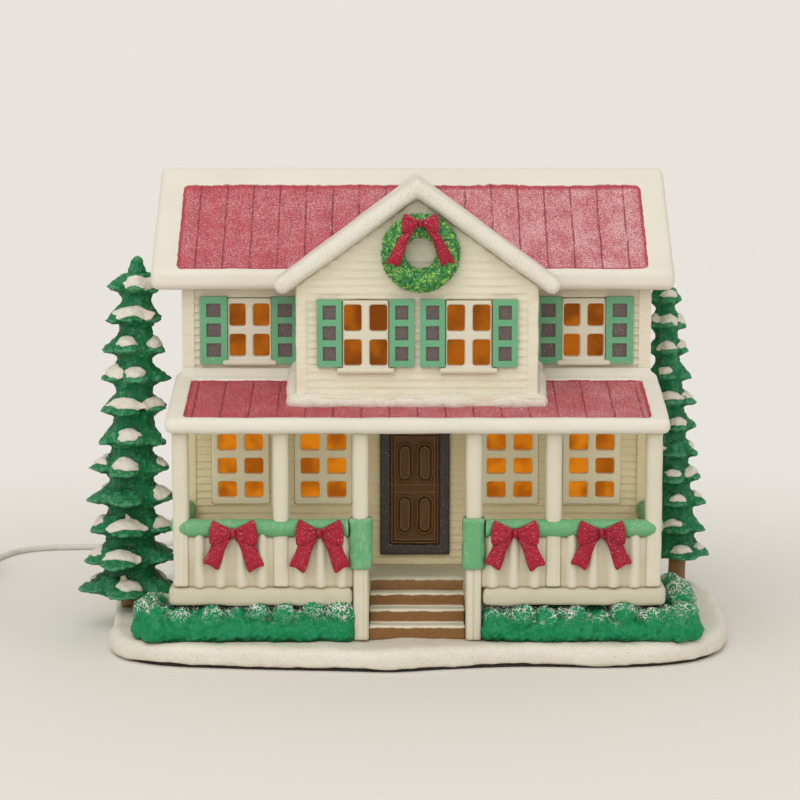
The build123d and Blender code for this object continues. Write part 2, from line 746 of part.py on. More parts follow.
# Posts: the outer four stand on the deck, the two by the steps reach the ground
post_heights = {"porch_posts": deck_height, "step_posts": ground_height}
post_places = {
    "porch_posts": [-outer_post_x, -middle_post_x, middle_post_x, outer_post_x],
    "step_posts": [-step_post_x, step_post_x],
}
posts = {}
for name, foot in post_heights.items():
    with BuildPart() as post_set:
        post_top = porch_eave_height + porch_roof_drop / 2
        with BuildSketch(Plane.XY.offset(foot)):
            with Locations(*[(x, post_y) for x in post_places[name]]):
                RectangleRounded(post_width, post_width, post_corner_radius)
        extrude(amount=post_top - foot)
        with BuildSketch(Plane.XY.offset(foot)):
            for x in post_places[name]:
                with Locations((x, post_y)):
                    with GridLocations(flute_pitch, post_width, flutes_per_face, 2):
                        Circle(flute_radius)
                    with GridLocations(post_width, flute_pitch, 2, flutes_per_face):
                        Circle(flute_radius)
        extrude(amount=garland_height - foot, mode=Mode.SUBTRACT)
        add(porch_roof.part, mode=Mode.SUBTRACT)
    posts[name] = post_set.part
    keep(post_set, name)

# Garlands over the rails and round the step posts, then the railings under them
garland_radius = garland_diameter / 2
sleeves = {}
garlands = {}
railings = {}
for side, hand in ((-1, "left"), (1, "right")):
    with BuildPart() as sleeve:
        with BuildSketch(Plane.XY.offset(sleeve_low)):
            with Locations((side * step_post_x, post_y)):
                RectangleRounded(sleeve_width, sleeve_width, sleeve_radius)
        extrude(amount=sleeve_high - sleeve_low)
        fillet(sleeve.faces().filter_by(Axis.Z).edges(), flute_pitch)
        with BuildSketch(Plane.XY.offset(sleeve_low)):
            with Locations((side * step_post_x, post_y)):
                RectangleRounded(post_width, post_width, post_corner_radius)
        extrude(amount=sleeve_high - sleeve_low, mode=Mode.SUBTRACT)
    sleeves[hand] = sleeve.part
    keep(sleeve, f"garland_post_{hand}")

    garland_start = side * (step_post_x + sleeve_width / 2)
    with BuildPart() as garland:
        with BuildLine() as garland_line:
            FilletPolyline(
                (garland_start, post_y, garland_height), (side * outer_post_x, post_y, garland_height),
                (side * outer_post_x, front_face_y, garland_height), radius=garland_corner_radius)
        with BuildSketch(Plane(origin=garland_line.line @ 0, z_dir=garland_line.line % 0)):
            Circle(garland_radius)
        sweep()
        add(posts["porch_posts"], mode=Mode.SUBTRACT)
    garlands[hand] = garland.part
    keep(garland, f"garland_{hand}")

    with BuildPart() as railing:
        inner_end = step_post_x + post_width / 2
        panel_high = garland_height - deck_height
        with BuildSketch(Plane.XY.offset(deck_height)):
            with Locations((side * (inner_end + outer_post_x) / 2, post_y)):
                Rectangle(outer_post_x - inner_end, rail_panel_thickness)
            with Locations((side * outer_post_x, (post_y + front_face_y) / 2)):
                Rectangle(rail_panel_thickness, front_face_y - post_y)
            front_spans = ((inner_end, middle_post_x - post_width / 2),
                           (middle_post_x + post_width / 2, outer_post_x - post_width / 2))
            for low, high in front_spans:
                count = round((high - low) / baluster_pitch)
                with Locations((side * (low + high) / 2, post_y - rail_panel_thickness / 2)):
                    with GridLocations((high - low) / count, rail_panel_thickness, count, 1):
                        Circle(baluster_width / 2)
            side_span = front_face_y - post_y - post_width / 2
            count = round(side_span / baluster_pitch)
            with Locations((side * (outer_post_x + rail_panel_thickness / 2), front_face_y - side_span / 2)):
                with GridLocations(rail_panel_thickness, side_span / count, 1, count):
                    Circle(baluster_width / 2)
        extrude(amount=panel_high)
        add(posts["porch_posts"], mode=Mode.SUBTRACT)
        add(garlands[hand], mode=Mode.SUBTRACT)
        add(sleeves[hand], mode=Mode.SUBTRACT)
    keep(railing, f"railing_{hand}")


def make_bow(width, height, place):
    """Model a ribbon bow with two loops, a knot and two tails, its back on the plane given."""
    with BuildPart() as bow:
        for side in (-1, 1):
            with BuildSketch(place):
                with BuildLine():
                    Spline(*[(side * width * x, height * y) for x, y in bow_loop_shares], periodic=True)
                make_face()
            extrude(amount=bow_thickness)
            with BuildSketch(place):
                Polygon(*[(side * width * x, height * y) for x, y in bow_tail_shares], align=None)
            extrude(amount=bow_tail_thickness)
        with BuildSketch(place):
            RectangleRounded(bow_knot_width, bow_knot_width, bow_knot_radius)
        extrude(amount=bow_knot_thickness)
    return bow.part


# Bows on the front rails, one in each bay between the posts
for number, bow_x in enumerate(bow_xs, start=1):
    bow_place = Plane(
        origin=(bow_x, post_y - garland_radius + bow_seat, garland_height - bow_drop), x_dir=(1, 0, 0),
        z_dir=(0, -1, 0))
    with BuildPart() as rail_bow:
        add(make_bow(bow_width, bow_height, bow_place))
        add(garlands["left" if bow_x < 0 else "right"], mode=Mode.SUBTRACT)
    keep(rail_bow, f"rail_bow_{number}")

# Wreath on the gable: a rope ring with lumps, flat at the back, and its bow
wreath_back_y = bay_front_y - siding_depth
with BuildPart() as wreath:
    rope_radius = wreath_rope_diameter / 2
    wreath_plane = Plane(
        origin=(wreath_x, wreath_back_y - rope_radius * wreath_sink_share, wreath_height), x_dir=(1, 0, 0),
        z_dir=(0, -1, 0))
    with Locations(wreath_plane):
        Torus(wreath_ring_diameter / 2, rope_radius)
        with PolarLocations(wreath_ring_diameter / 2, wreath_lumps):
            Sphere(wreath_rope_diameter * wreath_lump_share)
    split(bisect_by=Plane.XZ.offset(-wreath_back_y), keep=Keep.TOP)
keep(wreath, "wreath")

with BuildPart() as wreath_bow:
    wreath_bow_place = Plane(
        origin=(wreath_x, wreath_back_y - rope_radius - rope_radius * wreath_sink_share,
                wreath_height + wreath_bow_rise), x_dir=(1, 0, 0), z_dir=(0, -1, 0))
    add(make_bow(wreath_bow_width, wreath_bow_height, wreath_bow_place))
    add(wreath.part, mode=Mode.SUBTRACT)
keep(wreath_bow, "wreath_bow")

# Door frame and the panelled door in it, on the face of the clapboards
door_back_y = front_wall_y - siding_depth
door_low = deck_height + door_sill_rise
door_height = porch_eave_height - door_head_gap - door_low
leaf_width = door_frame_width - 2 * door_frame_face
leaf_height = door_height - 2 * door_frame_face
door_panel_height = (leaf_height - door_middle_rail) / 2 - door_end_rail
door_panel_pitch_x = door_panel_width + door_panel_gap
door_panel_pitch_z = door_panel_height + door_middle_rail
door_plane = Plane(
    origin=(door_x, door_back_y, door_low + door_height / 2), x_dir=(1, 0, 0), z_dir=(0, -1, 0))
with BuildPart() as door_frame:
    with BuildSketch(door_plane):
        Rectangle(door_frame_width, door_height)
        Rectangle(leaf_width, leaf_height, mode=Mode.SUBTRACT)
    extrude(amount=door_frame_proud)
keep(door_frame, "door_frame")

with BuildPart() as front_door:
    with BuildSketch(door_plane):
        Rectangle(leaf_width - 2 * seat_clearance, leaf_height - 2 * seat_clearance)
    extrude(amount=door_leaf_thickness)
    with BuildSketch(door_plane.offset(door_leaf_thickness)):
        with GridLocations(door_panel_pitch_x, door_panel_pitch_z, 2, 2):
            SlotOverall(door_panel_height, door_panel_width, rotation=90)
    extrude(amount=door_panel_proud)
    with BuildSketch(door_plane.offset(door_leaf_thickness)):
        with GridLocations(door_panel_pitch_x, door_panel_pitch_z, 2, 2):
            SlotOverall(door_panel_height - door_panel_rim, door_panel_width - door_panel_rim, rotation=90)
            SlotOverall(
                door_panel_height - 2 * door_panel_rim, door_panel_width - 2 * door_panel_rim, rotation=90,
                mode=Mode.SUBTRACT)
    extrude(amount=door_panel_proud, mode=Mode.SUBTRACT)
keep(front_door, "front_door")

# Window frames seated in the wall openings, glazing behind them and shutters beside the upper ones
lower_pane = (pane_width, pane_height)
upper_pane = (upper_pane_width, upper_pane_height)
bay_pane = (bay_pane_width, bay_pane_height)
lower_centres = [(x, lower_window_z) for x in lower_window_xs]
upper_centres = [(-upper_window_x, upper_window_z), (upper_window_x, upper_window_z)]
bay_centres = [(-bay_window_x, bay_window_z), (bay_window_x, bay_window_z)]
frame_depth = wall_thickness + frame_proud
front_inside = Plane.XZ.offset(-front_wall_y - wall_thickness)
bay_inside = Plane.XZ.offset(-bay_front_y - wall_thickness)
side_insides = [
    Plane(origin=(-inner_width / 2, 0, 0), x_dir=(0, -1, 0), z_dir=(-1, 0, 0)),
    Plane(origin=(inner_width / 2, 0, 0), x_dir=(0, 1, 0), z_dir=(1, 0, 0)),
]
side_ways = [-1, 1]

with BuildPart() as lower_window_frames:
    with BuildSketch(front_inside):
        window_sketch(lower_centres, 2, 3, lower_pane, muntin, window_frame_face, window_frame_face)
    extrude(amount=frame_depth)
keep(lower_window_frames, "lower_window_frames")

upper_frames = {}
for name, place, centres, pane, rail, width, height in (
        ("upper", front_inside, upper_centres, upper_pane, upper_frame_face, upper_window_width,
         upper_window_height),
        ("bay", bay_inside, bay_centres, bay_pane, bay_frame_face, bay_window_width, bay_window_height)):
    with BuildPart() as window_frames:
        with BuildSketch(place):
            window_sketch(centres, 2, 2, pane, upper_muntin, upper_stile, rail)
        extrude(amount=frame_depth)
        with BuildSketch(place.offset(wall_thickness + siding_depth)):
            with Locations(*[(x, z - height / 2) for x, z in centres]):
                Rectangle(width + 2 * sill_ear, sill_height)
        extrude(amount=frame_proud - siding_depth + sill_proud)
    upper_frames[f"{name}_shutters"] = window_frames.part
    keep(window_frames, f"{name}_window_frames")

with BuildPart() as side_window_frames:
    for place, way in zip(side_insides, side_ways):
        with BuildSketch(place):
            window_sketch(
                [(way * side_window_y, upper_window_z)], 2, 2, upper_pane, upper_muntin, upper_stile,
                upper_frame_face)
            window_sketch(
                [(way * side_window_y, lower_window_z)], 2, 3, lower_pane, muntin, window_frame_face,
                window_frame_face)
        extrude(amount=frame_depth)
keep(side_window_frames, "side_window_frames")

lower_sheet = (lower_window_width + 2 * glazing_lap, lower_window_height + 2 * glazing_lap)
upper_sheet = (upper_window_width + 2 * glazing_lap, upper_window_height + 2 * glazing_lap)
bay_sheet = (bay_window_width + 2 * glazing_lap, bay_window_height + 2 * glazing_lap)
for name, place, centres, sheet in (
        ("lower_glazing", front_inside, lower_centres, lower_sheet),
        ("upper_glazing", front_inside, upper_centres, upper_sheet),
        ("bay_glazing", bay_inside, bay_centres, bay_sheet)):
    with BuildPart() as glazing:
        with BuildSketch(place):
            with Locations(*centres):
                Rectangle(*sheet)
        extrude(amount=-glazing_thickness)
    keep(glazing, name)

with BuildPart() as side_glazing:
    for place, way in zip(side_insides, side_ways):
        with BuildSketch(place):
            with Locations((way * side_window_y, upper_window_z)):
                Rectangle(*upper_sheet)
            with Locations((way * side_window_y, lower_window_z)):
                Rectangle(*lower_sheet)
        extrude(amount=-glazing_thickness)
keep(side_glazing, "side_glazing")

shutter_face = wall_thickness + siding_depth
bay_shutter_centres = [(x, z + bay_shutter_rise) for x, z in bay_centres]
for name, places, opening, width, height in (
        ("upper_shutters", [(front_inside, upper_centres)], upper_window_width, upper_shutter_width,
         upper_shutter_height),
        ("bay_shutters", [(bay_inside, bay_shutter_centres)], bay_window_width, bay_shutter_width,
         bay_shutter_height),
        ("side_shutters",
         [(place, [(way * side_window_y, upper_window_z)]) for place, way in zip(side_insides, side_ways)],
         upper_window_width, upper_shutter_width, upper_shutter_height)):
    with BuildPart() as shutters:
        for place, centres in places:
            shutter_offset = (opening + width) / 2
            boards_at = [board for centre in centres for board in pair(centre, shutter_offset)]
            with BuildSketch(place.offset(shutter_face)):
                shutter_sketch(boards_at, width, height)
            extrude(amount=shutter_thickness)
            with BuildSketch(place.offset(shutter_face + shutter_thickness)):
                shutter_panel_sketch(boards_at, width)
            extrude(amount=-shutter_panel_depth, mode=Mode.SUBTRACT)
        if name != "side_shutters":
            add(upper_frames[name], mode=Mode.SUBTRACT)
    keep(shutters, name)


def make_tree(foot, tip, low, high, low_radius, top_radius):
    """Model the boughs of a conifer as stacked tiers with round lobes, leaning from foot to tip."""
    spacing = (high - low) / tree_tiers
    with BuildPart() as tree:
        for tier in range(tree_tiers):
            last = tier == tree_tiers - 1
            radius = low_radius + (top_radius - low_radius) * tier / (tree_tiers - 1)
            levels = (
                (low + tier * spacing, radius),
                (high, tree_tip_radius) if last else
                (low + (tier + tier_height_share) * spacing, radius * tier_top_share),
            )
            for level, reach in levels:
                lean = (level - low) / (high - low)
                axis_x = foot[0] + (tip[0] - foot[0]) * lean
                axis_y = foot[1] + (tip[1] - foot[1]) * lean
                with BuildSketch(Plane.XY.offset(level)):
                    with BuildLine():
                        for lobe in range(tree_lobes):
                            first = lobe + tier * tier_turn_share
                            turns = [(first + part / 2) / tree_lobes for part in range(3)]
                            arms = (reach * tree_notch_share, reach, reach * tree_notch_share)
                            ThreePointArc(*[
                                (axis_x + arm * cos(2 * pi * turn), axis_y + arm * sin(2 * pi * turn))
                                for arm, turn in zip(arms, turns)])
                    make_face()
            loft(ruled=True)
    return tree


def make_trunk(foot, low):
    """Model the bare trunk between the ground and the lowest boughs."""
    with BuildPart() as trunk:
        with BuildSketch(Plane.XY.offset(ground_height)):
            with Locations(foot):
                Circle(trunk_diameter / 2)
        extrude(amount=low - ground_height)
    return trunk


# Trees beside the house
tree_left = make_tree(
    tree_left_foot, tree_left_tip, tree_left_low, tree_left_high, tree_left_radius, tree_left_top_radius)
keep(tree_left, "tree_left")
keep(make_trunk(tree_left_foot, tree_left_low), "tree_left_trunk")
tree_right = make_tree(
    tree_right_foot, tree_right_tip, tree_right_low, tree_right_high, tree_right_radius,
    tree_right_top_radius)
keep(tree_right, "tree_right")
keep(make_trunk(tree_right_foot, tree_right_low), "tree_right_trunk")

# Hedges: rows of lumps along the foundation, round the corner and back along the side
hedge_y = deck_front_y + hedge_front_inset - foundation_setback / 2
hedge_corner_x = deck_width / 2 + hedge_side_inset / 2
hedge_inner_x = step_post_x + hedge_step_gap
for side, hand, back_y in ((-1, "left", hedge_y + hedge_left_run), (1, "right", hedge_y + hedge_right_run)):
    front_end = hedge_corner_x - hedge_lump_pitch / 2
    side_start = hedge_y + hedge_lump_pitch / 2
    front_count = round((front_end - hedge_inner_x) / hedge_lump_pitch)
    side_count = round((back_y - side_start) / hedge_lump_pitch)
    front_step = (front_end - hedge_inner_x) / front_count
    side_step = (back_y - side_start) / side_count
    lumps = [(side * (hedge_inner_x + front_step * index), hedge_y) for index in range(front_count + 1)]
    lumps += [(side * hedge_corner_x, side_start + side_step * index) for index in range(side_count + 1)]
    with BuildPart() as hedge:
        for index, (lump_x, lump_y) in enumerate(lumps):
            swell = hedge_lump_radius * hedge_swell_shares[index % len(hedge_swell_shares)]
            with Locations((lump_x, lump_y, ground_height + hedge_height - hedge_lump_radius)):
                Sphere(swell)
            with BuildSketch(Plane.XY.offset(ground_height)):
                with Locations((lump_x, lump_y)):
                    Circle(swell * hedge_foot_share)
            extrude(amount=hedge_height - hedge_lump_radius)
        split(bisect_by=Plane.XY.offset(ground_height), keep=Keep.TOP)
        add(porch_deck.part, mode=Mode.SUBTRACT)
        add(posts["step_posts"], mode=Mode.SUBTRACT)
    keep(hedge, f"hedge_{hand}")

# Lamp: clip in the light hole, socket, domed cap and strain relief, on an axis along Y
lamp_face_y = back_wall_y + siding_depth
lamp_axis = Axis((0, 0, lamp_height), (0, 1, 0))
socket_mouth_y = lamp_face_y - socket_inside
socket_back_y = lamp_face_y + clip_thickness + socket_outside
cap_back_y = socket_back_y + cap_length
socket_radius = socket_diameter / 2
socket_bore = socket_radius - socket_wall


def lamp_plane(y):
    """Plane across the lamp's axis, facing the front of the house."""
    return Plane(origin=(0, y, lamp_height), x_dir=(1, 0, 0), z_dir=(0, -1, 0))


with BuildPart() as socket_clip:
    leg_radius = light_hole_diameter / 2 - lamp_clearance
    with BuildSketch(lamp_plane(lamp_face_y + clip_thickness)):
        Circle(clip_flange_diameter / 2)
        Circle(socket_radius, mode=Mode.SUBTRACT)
    extrude(amount=clip_thickness)
    with BuildSketch(lamp_plane(lamp_face_y)):
        for middle in clip_leg_turns:
            start = middle - clip_leg_sweep / 2
            with BuildLine():
                outer_arc = CenterArc((0, 0), leg_radius, start, clip_leg_sweep)
                inner_arc = CenterArc((0, 0), leg_radius - clip_leg_thickness, start, clip_leg_sweep)
                Line(outer_arc @ 0, inner_arc @ 0)
                Line(outer_arc @ 1, inner_arc @ 1)
            make_face()
    extrude(amount=clip_leg_length)
keep(socket_clip, "socket_clip")

with BuildPart() as lamp_socket:
    with BuildSketch(lamp_plane(socket_back_y)):
        Circle(socket_radius)
    extrude(amount=socket_back_y - socket_mouth_y)
    with BuildSketch(lamp_plane(socket_back_y - socket_end_wall)):
        Circle(socket_bore)
    extrude(amount=socket_back_y - socket_mouth_y, mode=Mode.SUBTRACT)
    mouth_edges = lamp_socket.faces().sort_by(Axis.Y)[0].edges()
    chamfer(mouth_edges.sort_by(SortBy.LENGTH)[-1], lamp_clearance)
keep(lamp_socket, "lamp_socket")

with BuildPart() as socket_cap:
    with BuildSketch(Plane.YZ):
        with BuildLine():
            Polyline((socket_back_y, lamp_height), (socket_back_y, lamp_height + socket_radius))
            cap_shoulder = (cap_back_y, lamp_height + cap_end_diameter / 2)
            TangentArc((socket_back_y, lamp_height + socket_radius), cap_shoulder, tangent=(1, 0))
            Polyline(cap_shoulder, (cap_back_y, lamp_height), (socket_back_y, lamp_height))
        make_face()
    revolve(axis=lamp_axis)
keep(socket_cap, "socket_cap")

with BuildPart() as strain_relief:
    with BuildSketch(lamp_plane(cap_back_y + relief_length)):
        Circle(relief_small_diameter / 2)
    with BuildSketch(lamp_plane(cap_back_y)):
        Circle(relief_large_diameter / 2)
    loft()
keep(strain_relief, "strain_relief")

# Bulb: screw base, hollow flame-shaped glass and the filament on its stem
bulb_base_y = socket_back_y - socket_end_wall - bulb_base_gap
glass_y = socket_mouth_y
with BuildPart() as bulb_base:
    with BuildSketch(lamp_plane(bulb_base_y)):
        Circle(socket_bore - bulb_thread_clearance)
    extrude(amount=bulb_base_y - glass_y)
keep(bulb_base, "bulb_base")

with BuildPart() as bulb_glass:
    for wall, mode in ((0, Mode.ADD), (bulb_wall, Mode.SUBTRACT)):
        neck = (glass_y - wall, lamp_height + bulb_neck_diameter / 2 - wall)
        collar = (glass_y - bulb_neck_length, lamp_height + bulb_neck_diameter / 2 - wall)
        belly = (glass_y - bulb_length * bulb_belly_share, lamp_height + bulb_diameter / 2 - wall)
        nose = (glass_y - bulb_length + wall, lamp_height)
        with BuildSketch(Plane.YZ):
            with BuildLine():
                Polyline((neck[0], lamp_height), neck, collar)
                Spline(collar, belly, tangents=[(-1, bulb_flare_share), (-1, 0)])
                Spline(belly, nose, tangents=[(-1, 0), (0, -1)])
                Line(nose, (neck[0], lamp_height))
            make_face()
        revolve(axis=lamp_axis, mode=mode)
keep(bulb_glass, "bulb_glass")

with BuildPart() as bulb_filament:
    stem_y = glass_y - bulb_wall
    with BuildSketch(lamp_plane(stem_y)):
        Circle(stem_diameter / 2)
    extrude(amount=stem_length)
    with BuildLine(Plane.YZ) as filament_line:
        leg = stem_y - stem_length
        FilletPolyline(
            (stem_y - stem_length / 2, lamp_height + filament_wire),
            (leg - filament_rise / 2, lamp_height + filament_span / 2),
            (leg - filament_rise / 2, lamp_height - filament_span / 2),
            (stem_y - stem_length / 2, lamp_height - filament_wire), radius=filament_wire)
    with BuildSketch(Plane(origin=filament_line.line @ 0, z_dir=filament_line.line % 0)):
        Circle(filament_wire / 2)
    sweep()
keep(bulb_filament, "bulb_filament")


def bend_radii(route):
    """Largest arc at each corner of a route that leaves straight runs between the arcs."""
    radii = []
    for before, corner, after in zip(route, route[1:], route[2:]):
        turn = (Vector(corner) - Vector(before)).get_angle(Vector(after) - Vector(corner))
        shorter = min(dist(before, corner), dist(corner, after))
        radii.append(cord_bend_share * shorter / tan(radians(turn) / 2))
    return radii


def make_cord(route, name):
    """Sweep the cord along a route of straight runs and tangent arcs, and print its bends."""
    radii = bend_radii(route)
    with BuildPart() as cord:
        with BuildLine() as cord_line:
            FilletPolyline(*route, radius=radii)
        with BuildSketch(Plane(origin=cord_line.line @ 0, z_dir=cord_line.line % 0)):
            Circle(cord_radius)
        sweep()
    cord_length = sum(edge.length for edge in cord_line.edges())
    section_volume = pi * cord_radius**2 * cord_length
    print(name, "length", round(cord_length, 1), "radii", [round(radius, 1) for radius in radii],
          "volume share", round(cord.part.volume / section_volume, 4))
    return cord


# Cord from the lamp to the switch and from the switch to the coil
keep(make_cord(lead_route, "cord_lead"), "cord_lead")
keep(make_cord(run_route, "cord_run"), "cord_run")

# Coil: half circles that draw in and out layer by layer, each climb a tilted half circle
coil_steps = []
for layer in range(coil_layers):
    halves = coil_half_turns - (1 if layer == coil_layers - 1 else 0)
    order = range(halves) if layer % 2 == 0 else range(coil_half_turns - 1, coil_half_turns - 1 - halves, -1)
    coil_steps += [(coil_radius - index * coil_pitch / 2, 0.0) for index in order]
    if layer < coil_layers - 1:
        turn_index = coil_half_turns if layer % 2 == 0 else -1
        coil_steps.append((coil_radius - turn_index * coil_pitch / 2, coil_layer_pitch))

coil_start = Vector(*run_route[-1])
coil_arcs = []
corner_point = coil_start + Vector(0, -cord_diameter, 0)
heading = -1
for half_radius, climb in coil_steps:
    across = sqrt((2 * half_radius) ** 2 - climb**2)
    next_point = corner_point + Vector(heading * across, 0, climb)
    middle_point = (corner_point + next_point) / 2 + Vector(0, heading * half_radius, 0)
    coil_arcs.append((corner_point, middle_point, next_point))
    corner_point = next_point
    heading = -heading
coil_end = corner_point + Vector(0, heading * cord_diameter, 0)

coil_centre_line = []
for first, middle, last in coil_arcs:
    centre = (first + last) / 2
    for step in range(coil_points):
        angle = pi * step / coil_points
        coil_centre_line.append(centre + (first - centre) * cos(angle) + (middle - centre) * sin(angle))
coil_gap = min(
    (one - other).length for index, one in enumerate(coil_centre_line)
    for other in coil_centre_line[index + coil_points:]) - cord_diameter
print("cord_coil least gap to itself", round(coil_gap, 3))

with BuildPart() as cord_coil:
    with BuildLine() as coil_line:
        Line(coil_start, coil_arcs[0][0])
        for arc_points in coil_arcs:
            ThreePointArc(*arc_points)
        Line(coil_arcs[-1][2], coil_end)
    with BuildSketch(Plane(origin=coil_start, z_dir=(0, -1, 0))):
        Circle(cord_radius)
    sweep()
coil_length = sum(edge.length for edge in coil_line.edges())
print("cord_coil length", round(coil_length, 1), "volume share",
      round(cord_coil.part.volume / (pi * cord_radius**2 * coil_length), 4))
keep(cord_coil, "cord_coil")

tail_route = [(coil_end.X, coil_end.Y + along, coil_end.Z + up) for along, up in tail_route_steps]
keep(make_cord(tail_route, "cord_tail"), "cord_tail")

# Tie round the back of the coil
coil_middle_x = sum(point.X for point in coil_centre_line) / len(coil_centre_line)
tied = [point for point in coil_centre_line
        if abs(point.X - coil_middle_x) < coil_radius / 2 and point.Y > coil_start.Y]
tie_near = min(point.Y for point in tied) - cord_radius - tie_clearance
tie_far = max(point.Y for point in tied) + cord_radius + tie_clearance
tie_low = min(point.Z for point in tied) - cord_radius - tie_clearance
tie_high = max(point.Z for point in tied) + cord_radius + tie_clearance
with BuildPart() as cord_tie:
    with BuildSketch(Plane.YZ.offset(coil_middle_x - tie_width / 2)):
        with Locations(((tie_near + tie_far) / 2, (tie_low + tie_high) / 2)):
            RectangleRounded(
                tie_far - tie_near + 2 * tie_thickness, tie_high - tie_low + 2 * tie_thickness, cord_diameter)
            RectangleRounded(
                tie_far - tie_near, tie_high - tie_low, cord_diameter - tie_thickness, mode=Mode.SUBTRACT)
    extrude(amount=tie_width)
keep(cord_tie, "cord_tie")

# In-line switch: two halves round a thumb wheel on a pin
switch_x = (lead_route[-1][0] + run_route[0][0]) / 2
switch_y = run_route[0][1]
switch_split = switch_height / 2
wheel_radius = wheel_diameter / 2
wheel_y = switch_y - switch_width / 2 - wheel_proud + wheel_radius
wheel_room = wheel_thickness / 2 + wheel_clearance
pin_radius = wheel_bore / 2 - wheel_pin_clearance

for name, face, way in (("switch_bottom", 0, 1), ("switch_top", switch_height, -1)):
    with BuildPart() as switch_half:
        with BuildSketch(Plane.XY.offset(face)):
            with Locations((switch_x, switch_y)):
                RectangleRounded(switch_length, switch_width, switch_corner_radius)
        extrude(amount=way * switch_split)
        fillet(switch_half.faces().sort_by(Axis.Z)[0 if way > 0 else -1].edges(), switch_edge_radius)
        with BuildSketch(Plane.XY.offset(switch_split)):
            with Locations((switch_x, wheel_y)):
                Circle(wheel_radius + wheel_clearance)
        extrude(amount=-way * wheel_room, mode=Mode.SUBTRACT)
        if way > 0:
            with BuildSketch(Plane.XY.offset(switch_split - wheel_room)):
                with Locations((switch_x, wheel_y)):
                    Circle(pin_radius)
            extrude(amount=2 * wheel_room)
    keep(switch_half, name)

with BuildPart() as switch_wheel:
    with BuildSketch(Plane.XY.offset(switch_split - wheel_thickness / 2)):
        with Locations((switch_x, wheel_y)):
            Circle(wheel_radius)
            with PolarLocations(wheel_radius, wheel_notches):
                Circle(wheel_notch_radius, mode=Mode.SUBTRACT)
            Circle(wheel_bore / 2, mode=Mode.SUBTRACT)
    extrude(amount=wheel_thickness)
keep(switch_wheel, "switch_wheel")

# Plug: tapered neck, waisted grip and two flat blades, lying on the floor
plug_start = tail_route[-1]
neck_end_y = plug_start[1] - plug_neck_length
plug_face_y = neck_end_y - plug_length


def plug_plane(y):
    """Plane across the plug at a place along it, facing its blades."""
    return Plane(origin=(plug_start[0], y, plug_start[2]), x_dir=(1, 0, 0), z_dir=(0, -1, 0))


with BuildPart() as plug_body:
    with BuildSketch(plug_plane(plug_start[1])):
        Circle(plug_neck_diameter / 2)
    with BuildSketch(plug_plane(neck_end_y)):
        Circle(plug_grip_width / 2)
    loft()
    with BuildSketch(plug_plane(neck_end_y)):
        RectangleRounded(plug_grip_width, plug_grip_width, plug_corner_radius)
    with BuildSketch(plug_plane((neck_end_y + plug_face_y) / 2)):
        RectangleRounded(plug_width, plug_height, plug_corner_radius)
    loft()
    with BuildSketch(plug_plane((neck_end_y + plug_face_y) / 2)):
        RectangleRounded(plug_width, plug_height, plug_corner_radius)
    extrude(amount=plug_length / 2)
    with BuildSketch(plug_plane(plug_face_y + blade_root)):
        with GridLocations(blade_pitch, blade_width, 2, 1):
            Rectangle(blade_thickness, blade_width)
    extrude(amount=blade_root, mode=Mode.SUBTRACT)
keep(plug_body, "plug_body")

with BuildPart() as plug_blades:
    with BuildSketch(plug_plane(plug_face_y + blade_root)):
        with GridLocations(blade_pitch, blade_width, 2, 1):
            Rectangle(blade_thickness, blade_width)
    extrude(amount=blade_root + blade_length)
    fillet(plug_blades.faces().sort_by(Axis.Y)[0:2].edges().filter_by(Axis.X), blade_nose_radius)
keep(plug_blades, "plug_blades")
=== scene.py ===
"""Dress a lit ceramic village house: cast snow and clapboards, brushed paint, its lamp and its lead."""
import math
import random

import bmesh
import bpy
from bpy.props import FloatProperty, FloatVectorProperty, IntProperty, PointerProperty
from mathutils import Matrix, Vector, noise
from mathutils.bvhtree import BVHTree


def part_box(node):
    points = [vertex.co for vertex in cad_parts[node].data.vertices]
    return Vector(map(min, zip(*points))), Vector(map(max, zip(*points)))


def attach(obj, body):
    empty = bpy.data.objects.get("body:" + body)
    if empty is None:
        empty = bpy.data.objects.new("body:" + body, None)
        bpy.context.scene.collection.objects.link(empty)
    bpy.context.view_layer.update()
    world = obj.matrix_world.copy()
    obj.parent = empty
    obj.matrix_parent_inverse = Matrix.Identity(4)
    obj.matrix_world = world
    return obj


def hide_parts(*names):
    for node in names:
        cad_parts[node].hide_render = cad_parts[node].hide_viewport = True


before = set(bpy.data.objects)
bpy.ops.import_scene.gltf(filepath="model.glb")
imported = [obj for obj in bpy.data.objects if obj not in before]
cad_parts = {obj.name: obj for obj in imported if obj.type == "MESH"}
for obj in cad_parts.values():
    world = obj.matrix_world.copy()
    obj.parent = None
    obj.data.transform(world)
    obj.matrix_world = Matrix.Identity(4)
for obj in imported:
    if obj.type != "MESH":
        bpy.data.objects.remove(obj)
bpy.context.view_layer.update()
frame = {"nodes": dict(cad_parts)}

bl_info = {
    "name": "Lit village house",
    "version": (1, 0, 0),
    "blender": (4, 5, 0),
    "location": "View3D > Sidebar > Village House",
    "description": "Dresses a cast ceramic village house with paint, snow, trees, bows and its lamp lead",
    "category": "Object",
}

# Places read from the frame
WALL_LOW, WALL_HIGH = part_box("house_walls")
HOUSE_X = (WALL_LOW.x + WALL_HIGH.x) / 2
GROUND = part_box("snow_base")[1].z
MM = 0.001


def shade(red, green, blue):
    """Linear colour from the 0 to 255 levels that the eye reads."""
    levels = [level / 255 for level in (red, green, blue)]
    return tuple(
        level / 12.92 if level <= 0.04045 else ((level + 0.055) / 1.055) ** 2.4 for level in levels)


def colour(name, description, red, green, blue):
    """Colour property with its default given as the eye reads it."""
    return FloatVectorProperty(
        name=name, description=description, subtype="COLOR", size=3, min=0.0, max=1.0,
        default=shade(red, green, blue))


